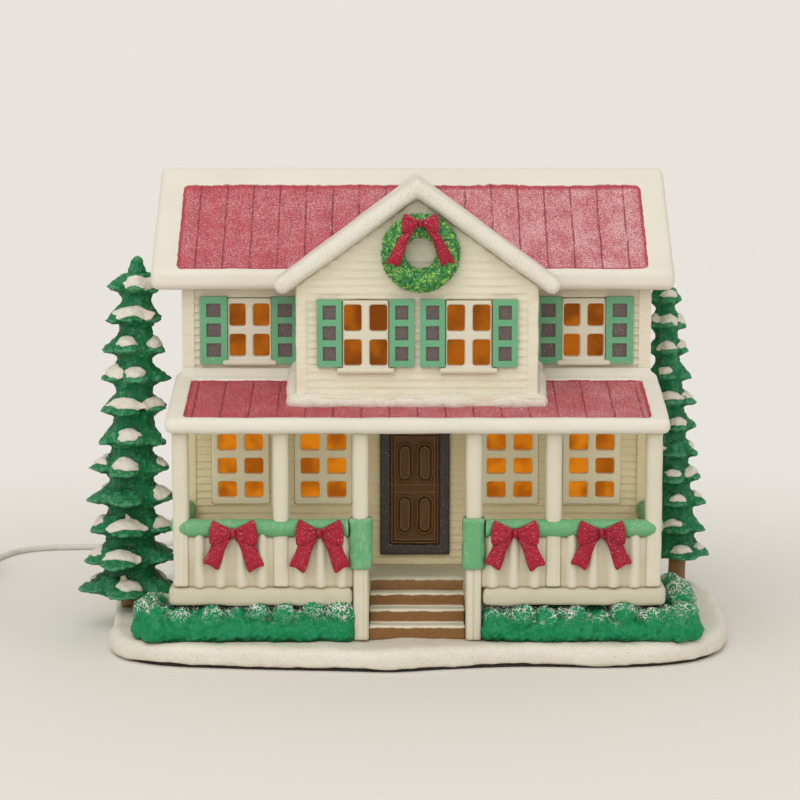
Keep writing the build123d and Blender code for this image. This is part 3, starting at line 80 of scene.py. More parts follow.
def length(name, description, default):
    """Length property in metres."""
    return FloatProperty(name=name, description=description, default=default, unit="LENGTH", precision=5)


class VillageColours(bpy.types.PropertyGroup):
    """Paints and finishes of the house."""
    snow: colour("Snow", "Cream white of the cast snow", 224, 218, 203)
    wall: colour("Clapboard", "Cream of the walls", 224, 217, 194)
    trim: colour("Trim", "Cream of the posts, rails and window frames", 214, 207, 186)
    # The deck's cream is darker than the trim's: partly its own tan, partly painted shade
    deck: colour("Deck", "Cream of the porch deck", 198, 193, 168)
    # Painted light: lighter, warmer creams inside the porch, where the porch roof's shade falls
    porch_wall_painted_light: colour("Porch wall", "Warmer cream of the wall inside the porch", 244, 226, 174)
    porch_trim_painted_light: colour("Porch trim", "Warmer cream of the windows inside the porch", 248, 238, 204)
    # Tan of the antique wash; the same tan paints the shade in grooves and hollows
    wash: colour("Antique wash", "Tan left in the grooves", 166, 148, 106)
    roof: colour("Roof red", "Red of the roof panels", 176, 54, 68)
    seam: colour("Roof seam", "Dark red of the seams", 104, 22, 36)
    frost: colour("Frost", "Fine glitter over the paint", 236, 230, 224)
    roof_frost: colour("Red frost", "Pink glitter over the red paint", 230, 194, 192)
    tree_dark: colour("Tree shade", "Green deep in the boughs", 6, 58, 34)
    tree: colour("Tree green", "Main green of the boughs", 16, 112, 66)
    tree_light: colour("Tree brush", "Dry-brushed green on the boughs", 96, 168, 124)
    hedge: colour("Hedge green", "Main green of the hedges", 14, 130, 78)
    garland: colour("Garland green", "Pale green of the garlands", 104, 168, 116)
    wreath: colour("Wreath green", "Main green of the wreath", 72, 150, 66)
    wreath_tip: colour("Wreath tips", "Yellow green of the wreath's leaf tips", 154, 198, 92)
    shutter: colour("Shutter green", "Green of the shutters", 98, 166, 120)
    shutter_panel: colour("Shutter panel", "Grey brown of the sunk panels", 98, 84, 82)
    bow: colour("Bow red", "Red of the bows", 164, 30, 52)
    bow_dark: colour("Bow shade", "Red in the folds of the bows", 88, 10, 26)
    door: colour("Door brown", "Brown of the door", 96, 64, 30)
    door_dark: colour("Door shade", "Brown in the door's grooves", 48, 28, 12)
    door_light: colour("Door rims", "Brushed brown on the door's rims", 142, 104, 60)
    door_frame: colour("Door frame", "Dark brown of the door frame", 60, 50, 46)
    step: colour("Step brown", "Brown of the risers", 128, 88, 48)
    trunk: colour("Trunk brown", "Brown of the tree trunks", 138, 98, 58)
    pane: colour("Pane amber", "Lit amber of the lower panes", 216, 126, 14)
    pane_deep: colour("Pane shade", "Deeper amber of the lower panes", 158, 82, 5)
    upper_pane: colour("Upper pane amber", "Lit amber of the upper panes", 172, 92, 6)
    upper_pane_deep: colour("Upper pane shade", "Deeper amber of the upper panes", 122, 61, 3)
    pane_back: colour("Pane sheet", "Unlit brown of the amber sheets", 60, 26, 3)
    felt: colour("Felt", "Dark felt under the base", 34, 28, 26)
    felt_fuzz: colour("Felt fuzz", "Paler fibres of the felt", 70, 62, 56)
    cord: colour("Cord white", "Off-white vinyl of the lead", 212, 209, 200)
    cord_mark: colour("Cord marks", "Handling marks on the lead", 176, 170, 156)
    lamp: colour("Lamp white", "White plastic of the lamp, the switch and the plug", 226, 224, 216)
    lamp_mark: colour("Lamp marks", "Handling marks on the white plastic", 190, 184, 168)
    wheel: colour("Wheel grey", "Grey of the switch's wheel", 150, 148, 142)
    wheel_mark: colour("Wheel marks", "Handling marks on the wheel", 96, 94, 90)
    tie: colour("Tie black", "Black of the coil's tie", 38, 38, 40)
    tie_mark: colour("Tie marks", "Rubbed places on the tie", 70, 70, 72)
    steel: colour("Clip steel", "Steel of the spring clip", 196, 196, 192)
    brass: colour("Brass", "Brass of the bulb's base and the plug's blades", 206, 174, 108)
    tungsten: colour("Tungsten", "Grey of the filament", 120, 118, 114)
    glass: colour("Glass", "Clear glass of the bulb", 250, 248, 240)
    glass_tint: colour("Glass tint", "Warm tint in the bulb's glass", 240, 232, 214)
    paper: colour("Floor", "Pale floor", 230, 226, 217)
    backdrop: colour("Backdrop", "Pale backdrop", 232, 228, 221)


class VillageSizes(bpy.types.PropertyGroup):
    """Sizes of the modelled pieces."""
    cast_grid: length("Casting grid", "Grid of the softened castings", 0.0009)
    fine_grid: length("Fine grid", "Grid of the softened small castings", 0.0005)
    bough_grid: length("Bough grid", "Grid of the tree skins", 0.0008)
    tree_tiers: IntProperty(name="Tree tiers", description="Tiers of boughs on a tree", default=11)
    tree_lobes: IntProperty(name="Tree lobes", description="Boughs in one tier", default=5)
    roof_rise: length("Roof rise", "Rise of the main roof from its eave to its ridge", 0.0436)
    roof_end_border: length("Roof end border", "Snow beside the main roof's panels", 0.011)
    roof_ridge_border: length("Roof ridge border", "Snow under the ridge, along the slope", 0.012)
    roof_eave_border: length("Roof eave border", "Snow over the eave, along the slope", 0.0027)
    porch_end_border: length("Porch end border", "Snow beside the porch roof's panel", 0.0075)
    porch_front_border: length("Porch front border", "Snow along the porch roof's front", 0.0031)
    porch_bank: length("Porch snow bank", "Snow along the wall on the porch roof", 0.0081)
    panel_corner: length("Panel corner", "Corner radius of the red panels", 0.0025)
    seam_pitch: length("Seam pitch", "Step between the seams of the roofs", 0.0115)
    drift: length("Drift", "Radius of the loose snow along the bay", 0.0036)
    rail_swell: length("Rail swelling", "Thickness of glaze on the railings", 0.0006)
    hedge_lump: length("Hedge lump", "Radius of the low roll of the hedge", 0.0070)
    hedge_crest: length("Hedge crest", "Radius of one crest of the hedge", 0.0064)
    hedge_pitch: length("Hedge pitch", "Step between clumps of the hedge", 0.0055)
    garland_roll: length("Garland roll", "Radius of the garlands on the rails", 0.0037)
    garland_proud: length("Garland stand-off", "How far the garlands stand in front of the rails", 0.0013)
    garland_bend: length("Garland bend", "Radius of the garlands' corners", 0.006)
    bow_width: length("Bow width", "Width of a bow on the rails", 0.0246)
    wreath_bow_width: length("Wreath bow width", "Width of the bow on the wreath", 0.0190)
    wreath_leaves: IntProperty(name="Wreath leaves", description="Leaves on the wreath", default=950)
    cord_diameter: length("Cord diameter", "Thickness of the lead", 0.003)


class VillageStage(bpy.types.PropertyGroup):
    """Camera and light of the stage."""
    lens: FloatProperty(name="Lens", description="Focal length in millimetres", default=102.8)
    pitch: FloatProperty(
        name="Camera tilt", description="Downward tilt of the camera", default=math.radians(7.2),
        subtype="ANGLE")
    camera_x: length("Camera side", "Camera's place beside the house's middle", -0.00708)
    camera_y: length("Camera back", "Camera's place in front of the house", -0.98728)
    camera_z: length("Camera height", "Camera's height over the floor", 0.22606)
    sky: FloatProperty(name="Sky", description="Strength of the even light", default=0.66)
    key: FloatProperty(name="Key", description="Power of the large lamp in watts", default=14.5)
    fill: FloatProperty(name="Fill", description="Power of the side lamp in watts", default=3.0)
    front: FloatProperty(name="Front", description="Power of the low lamp in watts", default=3.6)


class Bench:
    """Adds and links the nodes of one node tree."""

    def __init__(self, tree):
        self.tree = tree

    def feed(self, socket, value):
        """Link a socket to an output, or set its plain value."""
        if isinstance(value, bpy.types.NodeSocket):
            self.tree.links.new(value, socket)
        elif socket.type == "RGBA":
            socket.default_value = (*value[:3], 1.0)
        else:
            socket.default_value = value

    def add(self, kind, inputs=None, **settings):
        """Add a node with its settings and inputs."""
        node = self.tree.nodes.new(kind)
        for name, value in settings.items():
            setattr(node, name, value)
        for key, value in (inputs or {}).items():
            self.feed(node.inputs[key], value)
        return node

    def coords(self):
        """Places in the piece's own frame."""
        return self.add("ShaderNodeTexCoord").outputs["Object"]

    def split(self, vector):
        """Parts of a vector along X, Y and Z."""
        return self.add("ShaderNodeSeparateXYZ", {0: vector}).outputs

    def facing(self):
        """Parts of the surface's normal along X, Y and Z."""
        return self.split(self.add("ShaderNodeNewGeometry").outputs["Normal"])

    def shelter(self, depth):
        """Openness of a place: 1 in the open, less in hollows of a depth."""
        return self.add("ShaderNodeAmbientOcclusion", {"Distance": depth}, samples=8).outputs["AO"]

    def reckon(self, operation, first, second=0.0, clamp=False):
        """One step of arithmetic."""
        node = self.add("ShaderNodeMath", {0: first, 1: second}, operation=operation, use_clamp=clamp)
        return node.outputs[0]

    def plus(self, first, second, clamp=False):
        """Sum of two values."""
        return self.reckon("ADD", first, second, clamp)

    def minus(self, first, second):
        """The first value less the second."""
        return self.reckon("SUBTRACT", first, second)

    def times(self, first, second, clamp=False):
        """Product of two values."""
        return self.reckon("MULTIPLY", first, second, clamp)

    def most(self, first, second):
        """Larger of two values."""
        return self.reckon("MAXIMUM", first, second)

    def apart(self, first, second):
        """How far two values lie apart."""
        return self.reckon("ABSOLUTE", self.minus(first, second))

    def hypot(self, first, second):
        """Length of a vector that has these two parts."""
        vector = self.add("ShaderNodeCombineXYZ", {0: first, 1: second}).outputs[0]
        return self.add("ShaderNodeVectorMath", {0: vector}, operation="LENGTH").outputs["Value"]

    def mix(self, factor, first, second):
        """Blend two colours."""
        return self.add("ShaderNodeMix", {0: factor, 6: first, 7: second}, data_type="RGBA").outputs[2]

    def fade(self, value, low, high):
        """Smooth rise from 0 at low to 1 at high."""
        node = self.add(
            "ShaderNodeMapRange", {0: value, 1: low, 2: high, 3: 0.0, 4: 1.0},
            interpolation_type="SMOOTHSTEP", clamp=True)
        return node.outputs[0]

    def noise(self, vector, scale, detail=2.0, roughness=0.5):
        """Soft random pattern, about 0.5 on average."""
        node = self.add("ShaderNodeTexNoise", {
            "Vector": vector, "Scale": scale, "Detail": detail, "Roughness": roughness})
        return node.outputs[0]

    def waver(self, reach, vector, scale, detail):
        """Soft random shift of up to half a reach to either side."""
        return self.times(self.minus(self.noise(vector, scale, detail), 0.5), reach)

    def stretch(self, vector, scale):
        """Coordinates drawn out along some axes."""
        return self.add("ShaderNodeMapping", {"Vector": vector, "Scale": scale}).outputs[0]

    def bump(self, height, strength, distance):
        """Bumped normal from a height."""
        return self.add(
            "ShaderNodeBump", {"Strength": strength, "Distance": distance, "Height": height}).outputs[0]


def new_group(name, inputs, outputs):
    """Start a shader node group with named sockets; gives its bench, inputs and output node."""
    tree = bpy.data.node_groups.new(name, "ShaderNodeTree")
    kinds = {"colour": "NodeSocketColor", "value": "NodeSocketFloat"}
    for label, kind, default in inputs:
        socket = tree.interface.new_socket(label, in_out="INPUT", socket_type=kinds[kind])
        socket.default_value = (*default, 1.0) if kind == "colour" else default
    for label, kind in outputs:
        tree.interface.new_socket(label, in_out="OUTPUT", socket_type=kinds[kind])
    bench = Bench(tree)
    return bench, bench.add("NodeGroupInput").outputs, bench.add("NodeGroupOutput").inputs


def make_wash_and_shade_group():
    """Tan antique wash and painted shade that stay in grooves and corners, with a faint mottling all over."""
    bench, given, made = new_group(
        "Antique wash",
        [("Colour", "colour", (0.8, 0.8, 0.8)), ("Wash", "colour", (0.3, 0.25, 0.15)),
         ("Depth", "value", 0.002), ("Amount", "value", 0.6), ("Mottle", "value", 0.12)],
        [("Colour", "colour")])
    coords = bench.coords()
    uneven = bench.noise(coords, 220.0, 3.0)
    # Painted shade: the wash lies thickest where the surface is most sheltered
    sheltered = bench.fade(bench.shelter(given["Depth"]), 0.92, 0.35)
    cavity = bench.times(sheltered, bench.plus(uneven, 0.35), True)
    broad = bench.fade(bench.noise(coords, 38.0, 4.0, 0.6), 0.42, 0.72)
    tone = bench.mix(bench.times(broad, given["Mottle"]), given["Colour"], given["Wash"])
    tone = bench.mix(bench.times(cavity, given["Amount"]), tone, given["Wash"])
    bench.feed(made["Colour"], tone)


def make_frost_group():
    """Fine pale glitter, thicker on faces that look up."""
    bench, given, made = new_group(
        "Frost",
        [("Colour", "colour", (0.5, 0.5, 0.5)), ("Frost", "colour", (0.9, 0.9, 0.9)),
         ("Amount", "value", 0.4), ("Grain", "value", 2400.0), ("Upward", "value", 0.5),
         ("Patch", "value", 0.5), ("Cover", "value", 0.7)],
        [("Colour", "colour")])
    coords = bench.coords()
    up = bench.fade(bench.facing()[2], -0.1, 0.9)
    lie = bench.plus(bench.times(up, given["Upward"]), bench.minus(1.0, given["Upward"]))
    drift = bench.fade(bench.noise(coords, 90.0, 3.0, 0.6), 0.3, 0.7)
    patchy = bench.plus(bench.times(bench.minus(drift, 0.5), given["Patch"]), 1.0)
    level = bench.times(bench.times(lie, given["Amount"]), patchy)
    edge = bench.minus(0.72, bench.times(level, 0.45))
    grains = bench.noise(coords, given["Grain"], 1.0)
    mask = bench.times(bench.fade(bench.minus(grains, edge), 0.0, 0.10), given["Cover"])
    bench.feed(made["Colour"], bench.mix(mask, given["Colour"], given["Frost"]))


def make_brush_and_shade_group():
    """Hand-brushed paint: painted shade dark in the hollows, streaked, with dry-brushed crests."""
    bench, given, made = new_group(
        "Brushed paint",
        [("Dark", "colour", (0.05, 0.1, 0.05)), ("Main", "colour", (0.1, 0.3, 0.15)),
         ("Light", "colour", (0.3, 0.5, 0.35)), ("Depth", "value", 0.006), ("Streak", "value", 300.0),
         ("Dry", "value", 0.5)],
        [("Colour", "colour"), ("Streaks", "value")])
    coords = bench.coords()
    # Painted shade: the dark tone lies where the hollows are sheltered
    hollow_shade = bench.fade(bench.shelter(given["Depth"]), 0.95, 0.30)
    streaks = bench.noise(bench.stretch(coords, (1.0, 1.0, 0.35)), given["Streak"], 3.0, 0.65)
    patches = bench.noise(coords, bench.times(given["Streak"], 0.18), 2.0)
    crest = bench.fade(bench.add("ShaderNodeNewGeometry").outputs["Pointiness"], 0.505, 0.56)
    worn = bench.times(bench.fade(streaks, 0.46, 0.70), bench.fade(patches, 0.35, 0.65))
    dry = bench.times(bench.plus(worn, crest, True), given["Dry"])
    tone = bench.mix(dry, given["Main"], given["Light"])
    bench.feed(made["Colour"], bench.mix(bench.times(hollow_shade, 0.9), tone, given["Dark"]))
    bench.feed(made["Streaks"], streaks)


def use_group(bench, name, inputs):
    """Place a shared node group in a material."""
    node = bench.add("ShaderNodeGroup", node_tree=bpy.data.node_groups[name])
    for key, value in inputs.items():
        bench.feed(node.inputs[key], value)
    return node.outputs


def washed_and_shaded(bench, tone, wash, depth, amount, mottle):
    """A colour under the antique wash and painted shade, which stay in hollows of a depth."""
    return use_group(bench, "Antique wash", {
        "Colour": tone, "Wash": wash, "Depth": depth, "Amount": amount, "Mottle": mottle})["Colour"]


def frosted(bench, tone, frost, amount, grain=2400.0, upward=0.5, patch=0.5, cover=0.7):
    """A colour under fine frost."""
    return use_group(bench, "Frost", {
        "Colour": tone, "Frost": frost, "Amount": amount, "Grain": grain, "Upward": upward,
        "Patch": patch, "Cover": cover})["Colour"]


def brushed(bench, dark, main, light, depth, streak, dry):
    """Paint of three tones brushed on, with painted shade in the hollows; gives its colour and its streaks.
    """
    painted = use_group(bench, "Brushed paint", {
        "Dark": dark, "Main": main, "Light": light, "Depth": depth, "Streak": streak, "Dry": dry})
    return painted["Colour"], painted["Streaks"]


def new_finish(name, roughness=0.5, shine=0.5):
    """Start a material; gives it with its bench, shader and object coordinates."""
    material = bpy.data.materials.new(name)
    material.use_nodes = True
    bench = Bench(material.node_tree)
    shader = material.node_tree.nodes["Principled BSDF"]
    shader.inputs["Roughness"].default_value = roughness
    shader.inputs["Specular IOR Level"].default_value = shine
    return material, bench, shader, bench.coords()


def cast_grain(bench, coords, shader, strength):
    """Slip-cast surface: fine pits and soft unevenness."""
    height = bench.plus(bench.noise(coords, 1500.0), bench.times(bench.noise(coords, 260.0, 3.0), 2.0))
    bench.feed(shader.inputs["Normal"], bench.bump(height, strength, 0.0004))


def snow_finish(colours):
    """Cream cast snow with faint tan specks, and tan wash and painted shade in its hollows."""
    material, bench, shader, coords = new_finish("cast_snow", roughness=0.52)
    tone = washed_and_shaded(bench, colours.snow, colours.wash, depth=0.003, amount=0.35, mottle=0.10)
    specks = bench.fade(bench.noise(coords, 1300.0), 0.54, 0.70)
    bench.feed(shader.inputs["Base Color"], bench.mix(bench.times(specks, 0.30), tone, colours.wash))
    cast_grain(bench, coords, shader, 0.55)
    return material


def wall_finish(colours, front, eave):
    """Cream clapboards with tan wash and painted shade between the boards, and painted warm light on the
    front below the porch's eave.
    """
    material, bench, shader, coords = new_finish("clapboard_cream", roughness=0.55)
    place = bench.split(coords)
    streak = bench.noise(bench.stretch(coords, (0.12, 0.12, 1.0)), 900.0, 3.0)
    tone = bench.mix(bench.times(bench.fade(streak, 0.48, 0.75), 0.14), colours.wall, colours.wash)
    below = bench.fade(place[2], eave + 0.002, eave - 0.004)
    before = bench.fade(place[1], front + 0.004, front + 0.002)
    # Painted warm light on the front wall under the porch roof
    tone = bench.mix(bench.times(bench.times(below, before), 0.75), tone, colours.porch_wall_painted_light)
    tone = washed_and_shaded(bench, tone, colours.wash, depth=0.0024, amount=0.30, mottle=0.10)
    bench.feed(shader.inputs["Base Color"], tone)
    relief = bench.plus(streak, bench.noise(coords, 1500.0))
    bench.feed(shader.inputs["Normal"], bench.bump(relief, 0.45, 0.0005))
    return material


def trim_finish(name, cream, colours):
    """Cream posts and window frames, with tan wash and painted shade in their hollows."""
    material, bench, shader, coords = new_finish(name)
    tone = washed_and_shaded(bench, cream, colours.wash, depth=0.0025, amount=0.55, mottle=0.08)
    bench.feed(shader.inputs["Base Color"], tone)
    cast_grain(bench, coords, shader, 0.22)
    return material


def rail_finish(colours, name, low, high):
    """Cream railing with tan wash and painted shade on the panel between its balusters, darker towards the
    bottom; low and high are its corners.
    """
    material, bench, shader, coords = new_finish(name)
    place = bench.split(coords)
    front = bench.fade(bench.facing()[1], -0.35, -0.75)
    # Painted shade with tan wash on the sunk panel between the balusters, darker towards the bottom
    sunk = bench.times(bench.fade(place[1], low.y + 0.0005, low.y + 0.0015), front)
    lower = bench.plus(bench.times(bench.fade(place[2], high.z, low.z), 0.30), 0.42)
    tone = bench.mix(bench.times(sunk, lower), colours.trim, colours.wash)
    tone = washed_and_shaded(bench, tone, colours.wash, depth=0.0025, amount=0.55, mottle=0.10)
    bench.feed(shader.inputs["Base Color"], tone)
    cast_grain(bench, coords, shader, 0.22)
    return material


def riser_brown(bench, coords, colours):
    """Blotched brown of the risers."""
    return bench.mix(bench.fade(bench.noise(coords, 1300.0, 3.0), 0.4, 0.7), colours.step, colours.trunk)


def ragged_edge(bench, coords, reach):
    """Shift that leaves a brushed line ragged along its length."""
    return bench.waver(reach, bench.stretch(coords, (1.0, 1.0, 0.2)), 260.0, 3.0)


def deck_finish(colours, low, high, top):
    """Cream deck with one more brown riser at its notch; low and high are the steps' corners."""
    material, bench, shader, coords = new_finish("deck_cream", shine=0.3)
    place = bench.split(coords)
    front = bench.fade(bench.facing()[1], -0.3, -0.6)
    half_wide = (high.x - low.x) / 2
    aside = bench.apart(place[0], (low.x + high.x) / 2)
    between = bench.fade(aside, half_wide + 0.0006, half_wide)
    notch = bench.fade(bench.apart(place[1], high.y), 0.003, 0.002)
    height = bench.plus(place[2], ragged_edge(bench, coords, 0.0016))
    under = bench.fade(height, top - 0.0012, top - 0.0017)
    riser = bench.times(between, bench.times(notch, under))
    # Deck cream, darker partly as painted shade, under the tan wash and painted shade of its hollows
    cream = washed_and_shaded(bench, colours.deck, colours.wash, depth=0.003, amount=0.5, mottle=0.16)
    brown = riser_brown(bench, coords, colours)
    bench.feed(shader.inputs["Base Color"], bench.mix(bench.times(riser, front), cream, brown))
    cast_grain(bench, coords, shader, 0.25)
    return material


def roof_finish(colours, name, panel, frost):
    """Snow-edged roof with a red, seamed and frosted panel; panel gives the panel's place and sizes."""
    material, bench, shader, coords = new_finish(name, roughness=0.55)
    corner, half_width, pitch = panel["corner"], panel["half_width"], panel["seam_pitch"]
    place = bench.split(coords)
    upward = bench.fade(bench.facing()[2], 0.2, 0.4)
    # Distance past the panel's rounded corners
    across = bench.minus(place[0], panel["middle_x"])
    run = bench.apart(place[1], panel["top_y"])
    from_middle = bench.apart(run, (panel["near"] + panel["far"]) / 2)
    over_side = bench.minus(bench.reckon("ABSOLUTE", across), half_width - corner)
    over_run = bench.minus(from_middle, (panel["far"] - panel["near"]) / 2 - corner)
    away = bench.hypot(bench.most(over_side, 0.0), bench.most(over_run, 0.0))
    ragged = bench.plus(away, bench.waver(0.0009, coords, 300.0, 3.0))
    inside = bench.times(upward, bench.fade(ragged, corner + 0.0002, corner - 0.0002))
    # Seams that sway a little and fade in places
    sway = bench.waver(0.0009, bench.stretch(coords, (0.2, 1.0, 1.0)), 70.0, 2.0)
    board = bench.plus(bench.reckon("DIVIDE", bench.plus(across, sway), pitch), 0.5)
    gap = bench.times(bench.apart(bench.reckon("FRACT", board), 0.5), pitch)
    thin = bench.fade(bench.noise(coords, 160.0), 0.26, 0.52)
    seam = bench.times(bench.fade(gap, 0.0006, 0.0001), thin)
    # Red paint, with frost that lies thicker to the right
    streaks = bench.noise(bench.stretch(coords, (1.0, 0.12, 0.12)), 620.0, 3.0)
    red = bench.mix(bench.times(bench.fade(streaks, 0.42, 0.75), 0.35), colours.roof, colours.seam)
    red = bench.mix(bench.times(seam, 0.7), red, colours.seam)
    settled = bench.fade(away, corner * 1.1, corner * 0.2)
    settled = bench.times(settled, bench.minus(1.0, bench.times(seam, 0.5)))
    windward = bench.plus(bench.times(bench.fade(across, -half_width, half_width), 0.42), 0.78)
    amount = bench.times(bench.times(settled, windward), frost)
    red = frosted(
        bench, red, colours.roof_frost, amount, grain=3200.0, upward=0.1, patch=0.35, cover=0.9)
    # Snow border under the tan wash and painted shade of its hollows
    snow = washed_and_shaded(bench, colours.snow, colours.wash, depth=0.003, amount=0.35, mottle=0.08)
    bench.feed(shader.inputs["Base Color"], bench.mix(inside, snow, red))
    grit = bench.times(bench.noise(coords, 2500.0, 1.0), inside)
    grooves = bench.times(bench.times(seam, inside), 2.5)
    cast = bench.plus(bench.times(bench.noise(coords, 260.0, 3.0), 2.0), bench.minus(grit, grooves))
    bench.feed(shader.inputs["Normal"], bench.bump(cast, 0.35, 0.0004))
    return material


def green_finish(name, shade_and_paints, frost, depth, streak, dry, amount, cover):
    """Brushed green foliage paint under fine frost; its three colours are the painted shade in its hollows,
    its main paint and its dry brushing.
    """
    material, bench, shader, coords = new_finish(name, shine=0.18)
    tone, streaks = brushed(bench, *shade_and_paints, depth, streak, dry)
    tone = frosted(bench, tone, frost, amount, grain=2300.0, upward=0.4, cover=cover)
    bench.feed(shader.inputs["Base Color"], tone)
    height = bench.plus(streaks, bench.times(bench.noise(coords, 1400.0), 0.5))
    bench.feed(shader.inputs["Normal"], bench.bump(height, 0.4, 0.0005))
    return material


def hedge_finish(colours, low, high):
    """Bright green hedge with squiggles of white frost on its crests; low and high are heights."""
    material, bench, shader, coords = new_finish("hedge_green", roughness=0.45, shine=0.18)
    tone, streaks = brushed(
        bench, colours.tree_dark, colours.hedge, colours.tree_light, depth=0.004, streak=420.0, dry=0.14)
    height = bench.plus(bench.split(coords)[2], bench.waver(0.012, coords, 120.0, 2.0))
    crest = bench.fade(height, low + (high - low) * 0.42, low + (high - low) * 0.80)
    worm = bench.apart(bench.noise(coords, 600.0), 0.5)
    patch = bench.fade(bench.noise(coords, 130.0), 0.38, 0.54)
    frost = bench.times(bench.fade(worm, 0.050, 0.022), bench.times(crest, patch))
    bench.feed(shader.inputs["Base Color"], bench.mix(frost, tone, colours.frost))
    bench.feed(shader.inputs["Normal"], bench.bump(bench.plus(streaks, frost), 0.5, 0.0006))
    return material


def leaf_finish(colours):
    """Wreath leaves, each a little different, from deep green to yellow green."""
    material, bench, shader, coords = new_finish("wreath_green", roughness=0.48)
    leaf = bench.add("ShaderNodeAttribute", attribute_name="leaf").outputs["Fac"]
    tone = bench.mix(bench.fade(leaf, 0.05, 0.40), colours.tree, colours.wreath)
    tone = bench.mix(bench.fade(leaf, 0.55, 0.95), tone, colours.wreath_tip)
    tone = frosted(bench, tone, colours.frost, 0.22, grain=2000.0)
    bench.feed(shader.inputs["Base Color"], tone)
    bench.feed(shader.inputs["Normal"], bench.bump(bench.noise(coords, 1800.0), 0.3, 0.0004))
    return material


def shutter_finish(colours, name, axis, face, depth):
    """Green shutters whose sunk panels are grey brown; face is the front's place along the axis."""
    material, bench, shader, coords = new_finish(name)
    place = bench.split(coords)[axis]
    if axis == 0:
        behind = bench.minus(face - HOUSE_X, bench.apart(place, HOUSE_X))
    else:
        behind = bench.minus(place, face)
    sunk = bench.fade(behind, depth * 0.55, depth * 0.9)
    # Green with painted shade in the shutters' hollows
    green = washed_and_shaded(bench, colours.shutter, colours.tree_dark, depth=0.0012, amount=0.5, mottle=0.15)
    blotch = bench.times(bench.fade(bench.noise(coords, 1300.0), 0.42, 0.66), 0.4)
    tone = bench.mix(sunk, green, bench.mix(blotch, colours.shutter_panel, colours.door_dark))
    tone = frosted(bench, tone, colours.frost, 0.18, upward=0.2, cover=0.35)
    bench.feed(shader.inputs["Base Color"], tone)
    cast_grain(bench, coords, shader, 0.3)
    return material


def bow_finish(colours):
    """Red glitter bows, with painted shade in the folds."""
    material, bench, shader, coords = new_finish("bow_red", shine=0.18)
    # Painted shade: deep red in the folds
    tone = washed_and_shaded(bench, colours.bow, colours.bow_dark, depth=0.003, amount=1.0, mottle=0.30)
    tone = frosted(bench, tone, colours.roof_frost, 0.28, grain=2300.0, upward=0.3, cover=0.5)
    bench.feed(shader.inputs["Base Color"], tone)
    cast_grain(bench, coords, shader, 0.4)
    return material


def line(bench, value, place, half):
    """Mask of a thin line where a value passes a place."""
    return bench.fade(bench.apart(value, place), half, half * 0.35)


def door_finish(colours, low, high):
    """Brown door whose oval panels and edges have dark grooves between brushed rims."""
    material, bench, shader, coords = new_finish("door_brown", shine=0.25)
    middle = (low + high) / 2
    half_wide, half_tall = (high.x - low.x) / 2, (high.z - low.z) / 2
    panel_half, half_pitch, middle_rail, end_rail = 0.0035, 0.0043, 0.0056, 0.0045
    rim_half, groove_half = 0.0004, 0.0005
    tall = half_tall - middle_rail / 2 - end_rail
    place = bench.split(coords)
    waver = bench.waver(0.0006, coords, 300.0, 2.0)
    aside = bench.apart(place[0], middle.x)
    level = bench.apart(place[2], middle.z)
    from_panel = bench.apart(level, (tall + middle_rail) / 2)
    over_end = bench.most(bench.minus(from_panel, tall / 2 - panel_half), 0.0)
    oval = bench.hypot(bench.minus(aside, half_pitch), over_end)
    oval = bench.plus(bench.minus(oval, panel_half), waver)
    edge = bench.most(bench.minus(aside, half_wide), bench.minus(level, half_tall))
    edge = bench.plus(edge, waver)
    rims = line(bench, oval, -0.0002, rim_half)
    for value, spot in ((oval, -0.0017), (edge, -0.0006), (edge, -0.0019), (level, 0.0016)):
        rims = bench.most(rims, line(bench, value, spot, rim_half))
    grooves = bench.most(
        line(bench, oval, -0.00095, groove_half), line(bench, edge, -0.00125, groove_half))
    tone, streaks = brushed(
        bench, colours.door_dark, colours.door, colours.door_light, depth=0.0014, streak=900.0, dry=0.22)
    tone = bench.mix(bench.times(grooves, 0.8), tone, colours.door_dark)
    tone = bench.mix(bench.times(rims, 0.62), tone, colours.door_light)
    bench.feed(shader.inputs["Base Color"], tone)
    relief = bench.plus(bench.times(streaks, 0.4), bench.minus(rims, grooves))
    bench.feed(shader.inputs["Normal"], bench.bump(relief, 0.6, 0.0004))
    return material


def plain_paint(name, main, dark, roughness, colours, frost=0.0):
    """Painted casting with painted shade in its hollows and a little frost."""
    material, bench, shader, coords = new_finish(name, roughness)
    tone = washed_and_shaded(bench, main, dark, depth=0.002, amount=0.7, mottle=0.3)
    if frost:
        tone = frosted(bench, tone, colours.frost, frost, grain=1900.0, upward=0.3)
    bench.feed(shader.inputs["Base Color"], tone)
    cast_grain(bench, coords, shader, 0.3)
    return material


def step_finish(colours, low, riser):
    """Brown risers under white snowy treads, with a ragged line between them."""
    material, bench, shader, coords = new_finish("step_paint", roughness=0.55, shine=0.25)
    height = bench.minus(bench.split(coords)[2], low)
    climb = bench.reckon("FRACT", bench.reckon("DIVIDE", height, riser))
    white = bench.fade(bench.plus(climb, ragged_edge(bench, coords, 0.25)), 0.80, 0.86)
    white = bench.most(white, bench.fade(bench.facing()[2], 0.45, 0.7))
    brown = riser_brown(bench, coords, colours)
    bench.feed(shader.inputs["Base Color"], bench.mix(white, brown, colours.trim))
    cast_grain(bench, coords, shader, 0.3)
    return material


def pane_finish(name, deep, bright, back):
    """Amber sheet lit from inside, brighter in soft patches."""
    material, bench, shader, coords = new_finish(name, shine=0.1)
    glow = bench.fade(bench.noise(coords, 75.0, 3.0), 0.36, 0.66)
    bench.feed(shader.inputs["Base Color"], back)
    bench.feed(shader.inputs["Emission Color"], bench.mix(glow, deep, bright))
    shader.inputs["Emission Strength"].default_value = 0.9
    bench.feed(shader.inputs["Normal"], bench.bump(bench.noise(coords, 400.0), 0.2, 0.0005))
    return material


